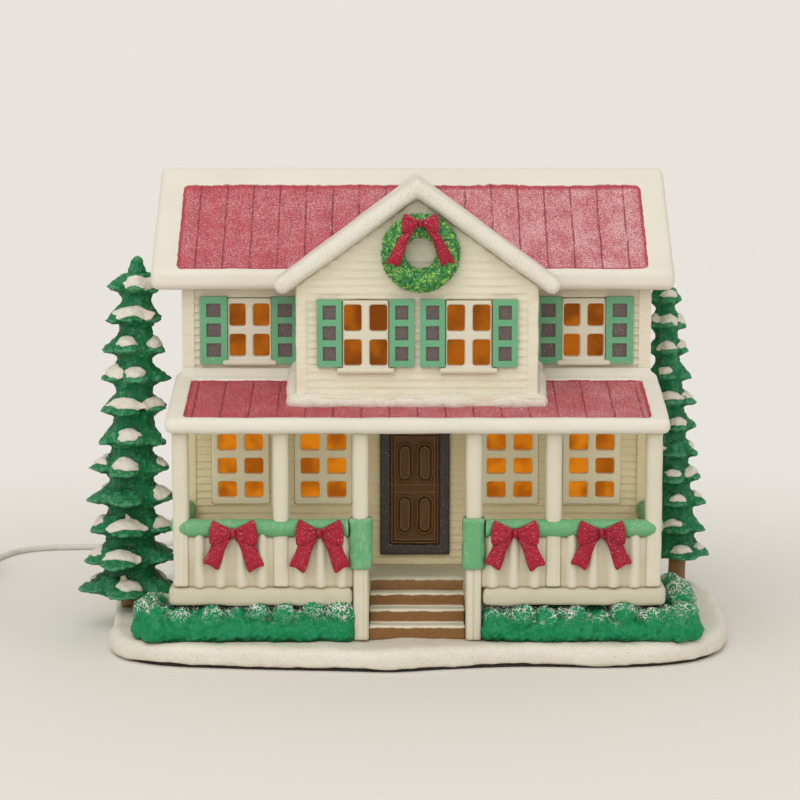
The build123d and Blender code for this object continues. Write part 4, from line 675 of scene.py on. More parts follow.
def felt_finish(colours):
    """Matt dark felt."""
    material, bench, shader, coords = new_finish("dark_felt", roughness=0.95)
    fuzz = bench.noise(coords, 1600.0, 3.0)
    tone = bench.mix(bench.fade(fuzz, 0.4, 0.7), colours.felt, colours.felt_fuzz)
    bench.feed(shader.inputs["Base Color"], tone)
    bench.feed(shader.inputs["Normal"], bench.bump(fuzz, 0.6, 0.0004))
    return material


def vinyl_finish(name, tone, mark, roughness):
    """Moulded vinyl with faint handling marks."""
    material, bench, shader, coords = new_finish(name, roughness)
    marks = bench.fade(bench.noise(coords, 120.0, 4.0, 0.6), 0.45, 0.75)
    bench.feed(shader.inputs["Base Color"], bench.mix(bench.times(marks, 0.35), tone, mark))
    bench.feed(shader.inputs["Roughness"], bench.plus(bench.times(marks, 0.15), roughness - 0.05))
    bench.feed(shader.inputs["Normal"], bench.bump(bench.noise(coords, 900.0), 0.08, 0.0003))
    return material


def metal_finish(name, tone, roughness):
    """Thin bright metal with fine rubbing marks."""
    material, bench, shader, coords = new_finish(name, roughness)
    shader.inputs["Metallic"].default_value = 1.0
    rub = bench.noise(bench.stretch(coords, (1.0, 0.1, 1.0)), 1500.0, 3.0)
    dull = [level * 0.7 for level in tone]
    bench.feed(shader.inputs["Base Color"], bench.mix(bench.fade(rub, 0.3, 0.8), tone, dull))
    bench.feed(shader.inputs["Roughness"], bench.plus(bench.times(rub, 0.2), roughness - 0.1))
    return material


def glass_finish(colours):
    """Clear bulb glass."""
    material, bench, shader, coords = new_finish("bulb_clear", roughness=0.05)
    tint = bench.fade(bench.noise(coords, 60.0), 0.3, 0.7)
    bench.feed(shader.inputs["Base Color"], bench.mix(tint, colours.glass, colours.glass_tint))
    shader.inputs["Transmission Weight"].default_value = 1.0
    return material


def dress(material, *nodes):
    """Give CAD pieces a finish."""
    for name in nodes:
        for slot in frame["nodes"][name].material_slots:
            slot.material = material


def soften(piece, grid, passes, lump=0.0, lump_size=0.02, swell=0.0):
    """Round a crisp casting: one smoothed skin on a fine grid, uneven and swollen where asked."""
    weld = piece.modifiers.new("Joined faces", "WELD")
    weld.merge_threshold = 0.00001
    skin = piece.modifiers.new("Cast skin", "REMESH")
    skin.mode = "VOXEL"
    skin.voxel_size = grid
    skin.use_smooth_shade = True
    smooth = piece.modifiers.new("Soft edges", "SMOOTH")
    smooth.factor = 0.5
    smooth.iterations = passes
    if lump:
        ripple(piece, "Unevenness", lump, lump_size)
    if swell:
        thick = piece.modifiers.new("Swelling", "DISPLACE")
        thick.strength = swell
        thick.mid_level = 0.0


def ripple(piece, name, depth, size, kind="CLOUDS"):
    """Move a skin in and out along its normals by a soft random pattern."""
    pattern = bpy.data.textures.new(f"{piece.name}_{name}", kind)
    pattern.noise_scale = size
    wave = piece.modifiers.new(name, "DISPLACE")
    wave.texture = pattern
    wave.texture_coords = "LOCAL"
    wave.strength = depth
    wave.mid_level = 0.5


def new_piece(bm, name, body, finish, slot_name, *replaced):
    """Make a finished piece of a bmesh, ride it on its body and hide the nodes it stands for."""
    mesh = bpy.data.meshes.new(name)
    bmesh.ops.recalc_face_normals(bm, faces=bm.faces)
    bm.to_mesh(mesh)
    bm.free()
    mesh.shade_smooth()
    mesh.materials.append(finish)
    piece = bpy.data.objects.new(name, mesh)
    bpy.context.scene.collection.objects.link(piece)
    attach(piece, body)
    if replaced:
        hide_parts(*replaced)
    return piece


class VILLAGE_OT_stage(bpy.types.Operator):
    """Set the floor, the even light, the lamps and the camera"""
    bl_idname = "village.stage"
    bl_label = "Stage"

    # Place and width of each soft lamp
    lamps = {
        "key": ((-0.55, -1.25, 1.75), 1.6),
        "fill": ((1.3, -0.9, 0.9), 1.2),
        "front": ((-0.30, -1.60, 0.48), 1.0),
    }
    lamp_aim = (HOUSE_X, 0.0, 0.08)
    daylight = (1.0, 0.985, 0.96)
    sensor_width = 36.0
    floor_half = 30.0
    # Distances from the part's origin at which the floor starts and ends its fade
    floor_fade = (0.14, 0.55)

    def execute(self, context):
        colours = context.scene.village_colours
        stage = context.scene.village_stage
        context.scene.view_settings.view_transform = "Standard"
        self.floor(colours)
        self.sky(context.scene, colours, stage)
        for name, (place, width) in self.lamps.items():
            self.lamp(f"{name}_lamp", place, width, getattr(stage, name))
        lens = bpy.data.cameras.new("view")
        lens.lens = stage.lens
        lens.sensor_width = self.sensor_width
        camera = bpy.data.objects.new("view", lens)
        camera.location = (HOUSE_X + stage.camera_x, stage.camera_y, stage.camera_z)
        camera.rotation_euler = (math.pi / 2 - stage.pitch, 0.0, 0.0)
        context.scene.collection.objects.link(camera)
        context.scene.camera = camera
        return {"FINISHED"}

    def floor(self, colours):
        """A wide pale floor that fades to the backdrop's colour far from the house."""
        material, bench, shader, coords = new_finish("pale_floor", roughness=0.75)
        bench.feed(shader.inputs["Base Color"], colours.paper)
        reach = bench.add("ShaderNodeVectorMath", {0: coords}, operation="LENGTH").outputs["Value"]
        far = bench.times(bench.fade(reach, *self.floor_fade), self.seen(bench))
        glow = bench.add("ShaderNodeEmission", {"Color": colours.backdrop, "Strength": 1.0})
        blend = bench.add("ShaderNodeMixShader", {0: far, 1: shader.outputs[0], 2: glow.outputs[0]})
        output = material.node_tree.nodes["Material Output"]
        bench.feed(output.inputs["Surface"], blend.outputs[0])
        bm = bmesh.new()
        bmesh.ops.create_grid(bm, x_segments=4, y_segments=4, size=self.floor_half)
        mesh = bpy.data.meshes.new("floor")
        bm.to_mesh(mesh)
        bm.free()
        mesh.materials.append(material)
        floor = bpy.data.objects.new("floor", mesh)
        bpy.context.scene.collection.objects.link(floor)

    def sky(self, scene, colours, stage):
        """Even light all round; the camera sees the backdrop's colour instead."""
        world = bpy.data.worlds.new("studio")
        world.use_nodes = True
        scene.world = world
        bench = Bench(world.node_tree)
        light = world.node_tree.nodes["Background"]
        bench.feed(light.inputs["Color"], self.daylight)
        light.inputs["Strength"].default_value = stage.sky
        shown = bench.add("ShaderNodeBackground", {"Color": colours.backdrop, "Strength": 1.0})
        blend = bench.add(
            "ShaderNodeMixShader", {0: self.seen(bench), 1: light.outputs[0], 2: shown.outputs[0]})
        bench.feed(world.node_tree.nodes["World Output"].inputs["Surface"], blend.outputs[0])

    def seen(self, bench):
        """1 for rays that show a surface straight, mirrored or through glass."""
        path = bench.add("ShaderNodeLightPath").outputs
        indirect = bench.most(path["Is Glossy Ray"], path["Is Transmission Ray"])
        return bench.most(path["Is Camera Ray"], indirect)

    def lamp(self, name, place, width, power):
        """A large soft lamp that looks at the house."""
        data = bpy.data.lights.new(name, "AREA")
        data.size = width
        data.energy = power
        lamp = bpy.data.objects.new(name, data)
        lamp.location = place
        aim = Vector(self.lamp_aim) - Vector(place)
        lamp.rotation_euler = aim.to_track_quat("-Z", "Y").to_euler()
        bpy.context.scene.collection.objects.link(lamp)


class VILLAGE_OT_castings(bpy.types.Operator):
    """Paint and soften the cast walls, roofs, porch, windows and base"""
    bl_idname = "village.castings"
    bl_label = "Cast house"

    risers = 3
    shutter_panel_depth = 0.8 * MM

    def execute(self, context):
        colours = context.scene.village_colours
        sizes = context.scene.village_sizes
        for make in (make_wash_and_shade_group, make_frost_group, make_brush_and_shade_group):
            make()
        nodes = frame["nodes"]
        snow = snow_finish(colours)
        dress(snow, "snow_base", "gable_roof")
        dress(wall_finish(colours, WALL_LOW.y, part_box("porch_roof")[0].z), "house_walls", "gable_bay")
        soften(nodes["snow_base"], sizes.cast_grid * 1.5, passes=10, lump=0.0026, lump_size=0.022)
        soften(nodes["gable_roof"], sizes.cast_grid, passes=4, lump=0.0007)
        soften(nodes["gable_bay"], sizes.fine_grid * 1.1, passes=1, lump=0.0006, lump_size=0.008)
        dress(felt_finish(colours), "felt_pad")
        self.roofs(colours, sizes, nodes)
        self.porch(colours, sizes, nodes)
        self.openings(colours, sizes, nodes)
        self.drift(snow, sizes)
        return {"FINISHED"}

    def drift(self, finish, sizes):
        """Loose snow along the bay's ledge and up the porch roof at both of its sides."""
        low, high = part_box("gable_bay")
        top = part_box("porch_roof")[1]
        left, right = low.x + sizes.drift * 0.6, high.x - sizes.drift * 0.6
        front, foot = low.y + sizes.drift * 0.8, low.z + sizes.drift * 0.47
        corners = (
            Vector((left, top.y, top.z)), Vector((left, front, foot)),
            Vector((right, front, foot)), Vector((right, top.y, top.z)))
        bm = bmesh.new()
        for start, end in zip(corners, corners[1:]):
            count = round((end - start).length / (sizes.drift * 0.7))
            for step in range(count + 1):
                spot = start.lerp(end, step / count)
                size = sizes.drift * (1.0 + 0.25 * noise.noise(spot * 90.0))
                bmesh.ops.create_icosphere(bm, subdivisions=3, radius=size, matrix=Matrix.Translation(spot))
        piece = new_piece(bm, "bay_drift", "house", finish, "snow_glaze")
        soften(piece, sizes.cast_grid * 0.8, passes=5, lump=0.0010, lump_size=0.006)

    def roofs(self, colours, sizes, nodes):
        """Red panels inside snow borders on the main and the porch roof."""
        low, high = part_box("main_roof")
        run = (high.y - low.y) / 2
        level = run / math.hypot(run, sizes.roof_rise)
        panel = {
            "middle_x": (low.x + high.x) / 2, "half_width": (high.x - low.x) / 2 - sizes.roof_end_border,
            "top_y": (low.y + high.y) / 2, "near": sizes.roof_ridge_border * level,
            "far": run - sizes.roof_eave_border * level,
            "corner": sizes.panel_corner, "seam_pitch": sizes.seam_pitch}
        dress(roof_finish(colours, "main_roof_paint", panel, frost=0.46), "main_roof")
        soften(nodes["main_roof"], sizes.cast_grid * 1.2, passes=2, lump=0.0007)
        low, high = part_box("porch_roof")
        panel = {
            "middle_x": (low.x + high.x) / 2, "half_width": (high.x - low.x) / 2 - sizes.porch_end_border,
            "top_y": high.y, "near": sizes.porch_bank, "far": high.y - low.y - sizes.porch_front_border,
            "corner": sizes.panel_corner, "seam_pitch": sizes.seam_pitch}
        dress(roof_finish(colours, "porch_roof_paint", panel, frost=0.36), "porch_roof")
        soften(nodes["porch_roof"], sizes.cast_grid * 0.8, passes=2, lump=0.0006, lump_size=0.016)

    def porch(self, colours, sizes, nodes):
        """Deck, posts, railings and steps."""
        low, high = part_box("front_steps")
        dress(deck_finish(colours, low, high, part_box("porch_deck")[1].z), "porch_deck")
        soften(nodes["porch_deck"], sizes.cast_grid, passes=40, lump=0.0013, lump_size=0.016)
        dress(step_finish(colours, low.z, (high.z - low.z) / self.risers), "front_steps")
        soften(nodes["front_steps"], sizes.fine_grid, passes=3, lump=0.0006, lump_size=0.008)
        dress(trim_finish("cast_cream", colours.trim, colours), "porch_posts", "step_posts",
              "upper_window_frames", "bay_window_frames", "side_window_frames")
        # Painted light: a lighter, warmer cream for the windows in the porch
        dress(trim_finish("porch_cream", colours.porch_trim_painted_light, colours), "lower_window_frames")
        for name in ("railing_left", "railing_right"):
            dress(rail_finish(colours, f"{name}_paint", *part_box(name)), name)
            soften(nodes[name], sizes.fine_grid * 1.2, passes=2, lump=0.0004, lump_size=0.012,
                   swell=sizes.rail_swell)
        for name in ("porch_posts", "step_posts"):
            soften(nodes[name], sizes.fine_grid * 1.2, passes=2, lump=0.0004, lump_size=0.012)

    def openings(self, colours, sizes, nodes):
        """Window frames, door, panes and shutters."""
        for name in ("lower_window_frames", "upper_window_frames", "bay_window_frames", "side_window_frames"):
            soften(nodes[name], sizes.fine_grid, passes=2)
        dress(door_finish(colours, *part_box("front_door")), "front_door")
        soften(nodes["front_door"], sizes.fine_grid * 0.7, passes=1)
        frame_brown = plain_paint(
            "door_frame_paint", colours.door_frame, colours.door_dark, 0.5, colours, frost=0.16)
        dress(frame_brown, "door_frame")
        soften(nodes["door_frame"], sizes.fine_grid, passes=1)
        dress(pane_finish("pane_bright", colours.pane_deep, colours.pane, colours.pane_back), "lower_glazing")
        dress(pane_finish("pane_soft", colours.upper_pane_deep, colours.upper_pane, colours.pane_back),
              "upper_glazing", "bay_glazing", "side_glazing")
        depth = self.shutter_panel_depth
        for name in ("upper_shutters", "bay_shutters"):
            dress(shutter_finish(colours, f"{name}_paint", 1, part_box(name)[0].y, depth), name)
        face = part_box("side_shutters")[1].x
        dress(shutter_finish(colours, "side_shutters_paint", 0, face, depth), "side_shutters")


class VILLAGE_OT_trees(bpy.types.Operator):
    """Model the two snowy conifers with their spreading boughs"""
    bl_idname = "village.trees"
    bl_label = "Trees"

    # Round tip of a tree and the cone under it
    tip_radius = 2.6 * MM
    tip_cone_radius = 2.4 * MM
    tip_cone_gap = 2.2 * MM
    # Middle height of a tier's rim, and how its two skirts rise from the rim, in shares of a tier
    rim_height = 0.24
    skirt_rises = (0.46, -0.22)
    # Reach of the rim between two boughs and at a bough's end, in shares of a tier's reach
    notch_reach = 0.66
    bough_reach = 1.06
    # Patches of snow: slope they lie at, how far they follow the skin, and thickness
    snow_slope = math.radians(38.0)
    snow_give = 0.0028
    snow_thickness = 0.0012
    ray_length = 0.05

    def execute(self, context):
        colours = context.scene.village_colours
        sizes = context.scene.village_sizes
        green = green_finish(
            "tree_green", (colours.tree_dark, colours.tree, colours.tree_light), colours.frost,
            depth=0.011, streak=330.0, dry=0.55, amount=0.16, cover=0.5)
        snow = snow_finish(colours)
        bark = plain_paint("trunk_brown", colours.trunk, colours.door_dark, 0.6, colours)
        for hand, seed in (("left", 11), ("right", 23)):
            draw = random.Random(seed)
            tree = self.measure(f"tree_{hand}", sizes, draw)
            piece = self.boughs(f"boughs_{hand}", f"tree_{hand}", tree, green, sizes)
            skin = BVHTree.FromObject(piece, context.evaluated_depsgraph_get())
            self.snow(f"bough_snow_{hand}", tree, skin, snow, draw)
            trunk = f"tree_{hand}_trunk"
            dress(bark, trunk)
            soften(frame["nodes"][trunk], sizes.fine_grid, passes=2, lump=0.0008, lump_size=0.004)
        return {"FINISHED"}

    def measure(self, node, sizes, draw):
        """Foot, tip, tiers and the uneven boughs of one tree, from its CAD node."""
        low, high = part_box(node)
        trunk_low, trunk_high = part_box(f"{node}_trunk")
        tips = [vertex.co for vertex in frame["nodes"][node].data.vertices if vertex.co.z > high.z - 0.5 * MM]
        tiers, lobes = sizes.tree_tiers, sizes.tree_lobes
        reach = (high.x - low.x) / 2
        return {
            "foot": (trunk_low + trunk_high) / 2, "tip": sum(tips, Vector()) / len(tips),
            "low": low.z, "high": high.z, "reach": reach, "top": reach * 0.55,
            "tiers": tiers, "lobes": lobes, "spacing": (high.z - low.z) / (tiers + 0.3),
            "boughs": [[self.bough(lobe, lobes, draw) for lobe in range(lobes)] for tier in range(tiers)],
        }

    def bough(self, lobe, lobes, draw):
        """One bough's turn round the tree as a share of a circle, its length and its droop."""
        turn = (lobe + draw.uniform(-0.22, 0.22)) / lobes - 0.25
        return {"turn": turn, "length": draw.uniform(0.90, 1.10), "droop": draw.uniform(-0.04, 0.14)}

    def axis(self, tree, height):
        """Point on the leaning middle of a tree."""
        share = (height - tree["low"]) / (tree["high"] - tree["low"])
        point = tree["foot"].lerp(tree["tip"], share)
        return Vector((point.x, point.y, height))

    def spread(self, tree, tier):
        """Reach of a tier's boughs."""
        return tree["reach"] + (tree["top"] - tree["reach"]) * tier / (tree["tiers"] - 1)

    def boughs(self, name, node, tree, finish, sizes):
        """A tapering core with two lobed skirts at each tier, as one skin."""
        bm = bmesh.new()
        spacing = tree["spacing"]
        for tier in range(tree["tiers"]):
            reach = self.spread(tree, tier)
            level = tree["low"] + tier * spacing
            last = tier == tree["tiers"] - 1
            depth = tree["high"] - level - self.tip_cone_gap if last else spacing * 1.3
            upper = self.tip_cone_radius if last else self.spread(tree, tier + 1) * 0.50
            bmesh.ops.create_cone(
                bm, cap_ends=True, segments=40, radius1=reach * 0.62, radius2=upper, depth=depth,
                matrix=Matrix.Translation(self.axis(tree, level + depth / 2)))
            for rise in self.skirt_rises:
                self.skirt(bm, tree, tier, rise)
        bmesh.ops.create_icosphere(
            bm, subdivisions=3, radius=self.tip_radius,
            matrix=Matrix.Translation(self.axis(tree, tree["high"] - self.tip_radius)))
        piece = new_piece(bm, name, "house", finish, "green_paint", node)
        soften(piece, sizes.bough_grid, passes=2, lump=0.0015, lump_size=0.0040)
        ripple(piece, "Needles", depth=0.0007, size=0.0016, kind="STUCCI")
        return piece

    def skirt(self, bm, tree, tier, rise):
        """The upper or the lower half of a tier: a low cone whose rim is drawn out into boughs."""
        reach, spacing = self.spread(tree, tier), tree["spacing"]
        middle = self.axis(tree, tree["low"] + spacing * (tier + self.rim_height))
        made = bmesh.ops.create_cone(bm, cap_ends=True, segments=96, radius1=1.0, radius2=0.5, depth=1.0)
        for vertex in made["verts"]:
            angle = math.atan2(vertex.co.y, vertex.co.x)
            away, radius, height = 1.0, reach * 0.56, spacing * rise
            if vertex.co.z < 0.0:
                for bough in tree["boughs"][tier]:
                    apart = (angle / math.tau - bough["turn"] + 0.5) % 1.0 - 0.5
                    if abs(apart) * 2.0 * tree["lobes"] < away:
                        away = abs(apart) * 2.0 * tree["lobes"]
                        share = math.cos(away * math.pi / 2.0) ** 0.8
                        longer = self.bough_reach * bough["length"] - self.notch_reach
                        radius = reach * (self.notch_reach + longer * share)
                        height = -spacing * bough["droop"] * share
                if away == 1.0:
                    radius, height = reach * self.notch_reach, 0.0
            vertex.co = middle + Vector((math.cos(angle) * radius, math.sin(angle) * radius, height))

    def snow(self, name, tree, skin, finish, draw):
        """Patches of snow lying in the boughs, each laid on the skin."""
        bm = bmesh.new()
        level, down = math.cos(self.snow_slope), math.sin(self.snow_slope)
        for tier in range(tree["tiers"]):
            for number, bough in enumerate(tree["boughs"][tier]):
                if draw.random() > (0.50 if number else 0.95):
                    continue
                angle = 2.0 * math.pi * bough["turn"] + draw.uniform(-0.20, 0.20)
                outward = Vector((math.cos(angle), math.sin(angle), 0.0))
                aim = Vector((-outward.x * level, -outward.y * level, -down))
                aside = Vector((-outward.y, outward.x, 0.0))
                upward = aim.cross(aside)
                height = tree["low"] + tree["spacing"] * (tier + draw.uniform(0.46, 0.56))
                start = self.axis(tree, height) + outward * self.spread(tree, tier) * 0.76
                start -= aim * self.ray_length
                middle = skin.ray_cast(start, aim)[3]
                if middle is None:
                    continue
                wide = tree["reach"] * draw.choice((0.22, 0.26, 0.30, 0.42))
                tall = tree["reach"] * draw.uniform(0.13, 0.17)
                axes = (aim, aside * wide, upward * tall)
                self.patch(bm, skin, start, axes, middle, Vector((tier, number, 0.5)))
        new_piece(bm, name, "house", finish, "snow_glaze")

    def patch(self, bm, skin, start, axes, middle, seed):
        """One ragged patch of snow, thick in its middle, that follows the skin under it."""
        aim, aside, upward = axes
        made = bmesh.ops.create_icosphere(bm, subdivisions=4, radius=1.0)
        for vertex in made["verts"]:
            rim = Vector((vertex.co.x, vertex.co.y, 0.0))
            ragged = 1.0 + 0.30 * noise.noise(rim * 1.3 + seed * 3.7)
            ragged += 0.10 * noise.noise(rim * 3.0 + seed * 5.3)
            origin = start + (aside * vertex.co.x + upward * vertex.co.y) * ragged
            depth = skin.ray_cast(origin, aim)[3] or middle
            depth = max(middle - self.snow_give, min(middle + self.snow_give, depth))
            vertex.co = origin + aim * (depth - self.snow_thickness * vertex.co.z)


class VILLAGE_OT_greenery(bpy.types.Operator):
    """Model the hedges and the garlands"""
    bl_idname = "village.greenery"
    bl_label = "Hedges and garlands"

    # The hedge's low roll over the ground and its sway, and the row that fills in behind the crests
    roll_height = 3.6 * MM
    roll_sway = 1.3 * MM
    fill_back = 2.6 * MM
    fill_drop = 8.6 * MM
    hedge_grid = 0.0007

    def execute(self, context):
        colours = context.scene.village_colours
        sizes = context.scene.village_sizes
        leaf = hedge_finish(colours, GROUND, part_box("hedge_left")[1].z)
        soft = green_finish(
            "garland_green", (colours.tree, colours.garland, colours.frost), colours.frost,
            depth=0.002, streak=700.0, dry=0.14, amount=0.22, cover=0.45)
        for hand, side, seed in (("left", -1, 5), ("right", 1, 9)):
            self.hedge(f"hedge_leaves_{hand}", f"hedge_{hand}", side, leaf, sizes, random.Random(seed))
            self.garland(f"garland_roll_{hand}", f"garland_{hand}", side, soft, sizes)
            sleeve = f"garland_post_{hand}"
            dress(soft, sleeve)
            soften(frame["nodes"][sleeve], sizes.fine_grid * 1.2, passes=5, lump=0.0011, lump_size=0.005)
        return {"FINISHED"}

    def hedge(self, name, node, side, finish, sizes, draw):
        """A low roll along the porch and back along its side, with uneven crests and a fill behind them."""
        low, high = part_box(node)
        radius = sizes.hedge_lump
        front = low.y + radius
        inner = high.x - radius * 0.7 if side < 0 else low.x + radius * 0.7
        outer = low.x + radius if side < 0 else high.x - radius
        corner = radius * 0.6
        row = [Vector((inner, front, 0.0)), Vector((outer - side * corner, front, 0.0)),
               Vector((outer, front + corner, 0.0)), Vector((outer, high.y - radius * 0.4, 0.0))]
        bm = bmesh.new()
        for start, end in zip(row, row[1:]):
            count = max(1, round((end - start).length / sizes.hedge_pitch))
            for step in range(count):
                spot = start.lerp(end, step / count)
                low_roll = Vector((0.0, self.roll_sway * noise.noise(spot * 60.0), GROUND + self.roll_height))
                fill = Vector((0.0, self.fill_back, high.z - self.fill_drop))
                self.clump(bm, spot + low_roll, radius * draw.uniform(0.92, 1.02), 0.95)
                self.clump(bm, spot + fill, radius * 0.82, 1.0)
                if step % 2 == 0:
                    top = high.z - sizes.hedge_crest + draw.uniform(-4.6, 1.6) * MM
                    shift = Vector((draw.uniform(-1.2, 1.2), draw.uniform(-1.6, 0.6), 0.0)) * MM
                    self.clump(bm, spot + shift + Vector((0.0, 0.0, top)),
                               sizes.hedge_crest * draw.uniform(0.80, 1.06), draw.uniform(1.0, 1.25))
        for vertex in bm.verts:
            vertex.co.z = max(vertex.co.z, GROUND - 0.3 * MM)
        piece = new_piece(bm, name, "house", finish, "green_paint", node)
        soften(piece, self.hedge_grid, passes=2)
        ripple(piece, "Clumps", depth=0.0020, size=0.0042)
        ripple(piece, "Leaves", depth=0.0009, size=0.0013, kind="STUCCI")

    def clump(self, bm, middle, radius, tall):
        """One rounded clump."""
        shape = Matrix.Translation(middle) @ Matrix.Diagonal((1.0, 1.0, tall, 1.0))
        bmesh.ops.create_icosphere(bm, subdivisions=3, radius=radius, matrix=shape)

    def garland(self, name, node, side, finish, sizes):
        """A soft roll along the rail, in front of the posts, that turns the corner to the wall."""
        low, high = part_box(node)
        middle = (low + high) / 2
        centre_y = low.y + (high.z - low.z) / 2 - sizes.garland_proud
        inner = high.x if side < 0 else low.x
        outer = middle.x + side * ((high.x - low.x) / 2 - (high.z - low.z) / 2 + sizes.garland_proud)
        bend = sizes.garland_bend
        bm = bmesh.new()
        bmesh.ops.create_circle(
            bm, segments=24, radius=sizes.garland_roll,
            matrix=Matrix.Translation((inner, centre_y, middle.z)) @ Matrix.Rotation(math.pi / 2, 4, "Y"))
        ring = self.run(bm, bm.edges[:], Vector((outer - side * bend - inner, 0.0, 0.0)))
        turned = bmesh.ops.spin(
            bm, geom=ring, cent=(outer - side * bend, centre_y + bend, middle.z), axis=(0.0, 0.0, 1.0),
            angle=side * math.pi / 2, steps=8)
        ring = [item for item in turned["geom_last"] if isinstance(item, bmesh.types.BMEdge)]
        self.run(bm, ring, Vector((0.0, high.y - centre_y - bend, 0.0)))
        bmesh.ops.holes_fill(bm, edges=[edge for edge in bm.edges if edge.is_boundary])
        piece = new_piece(bm, name, "house", finish, "green_paint", node)
        soften(piece, sizes.fine_grid * 1.2, passes=3, lump=0.0009, lump_size=0.006)

    def run(self, bm, ring, step):
        """Draw a ring of edges out along a straight run; gives the far ring."""
        grown = bmesh.ops.extrude_edge_only(bm, edges=ring)["geom"]
        moved = [item for item in grown if isinstance(item, bmesh.types.BMVert)]
        bmesh.ops.translate(bm, verts=moved, vec=step)
        return [item for item in grown if isinstance(item, bmesh.types.BMEdge)]


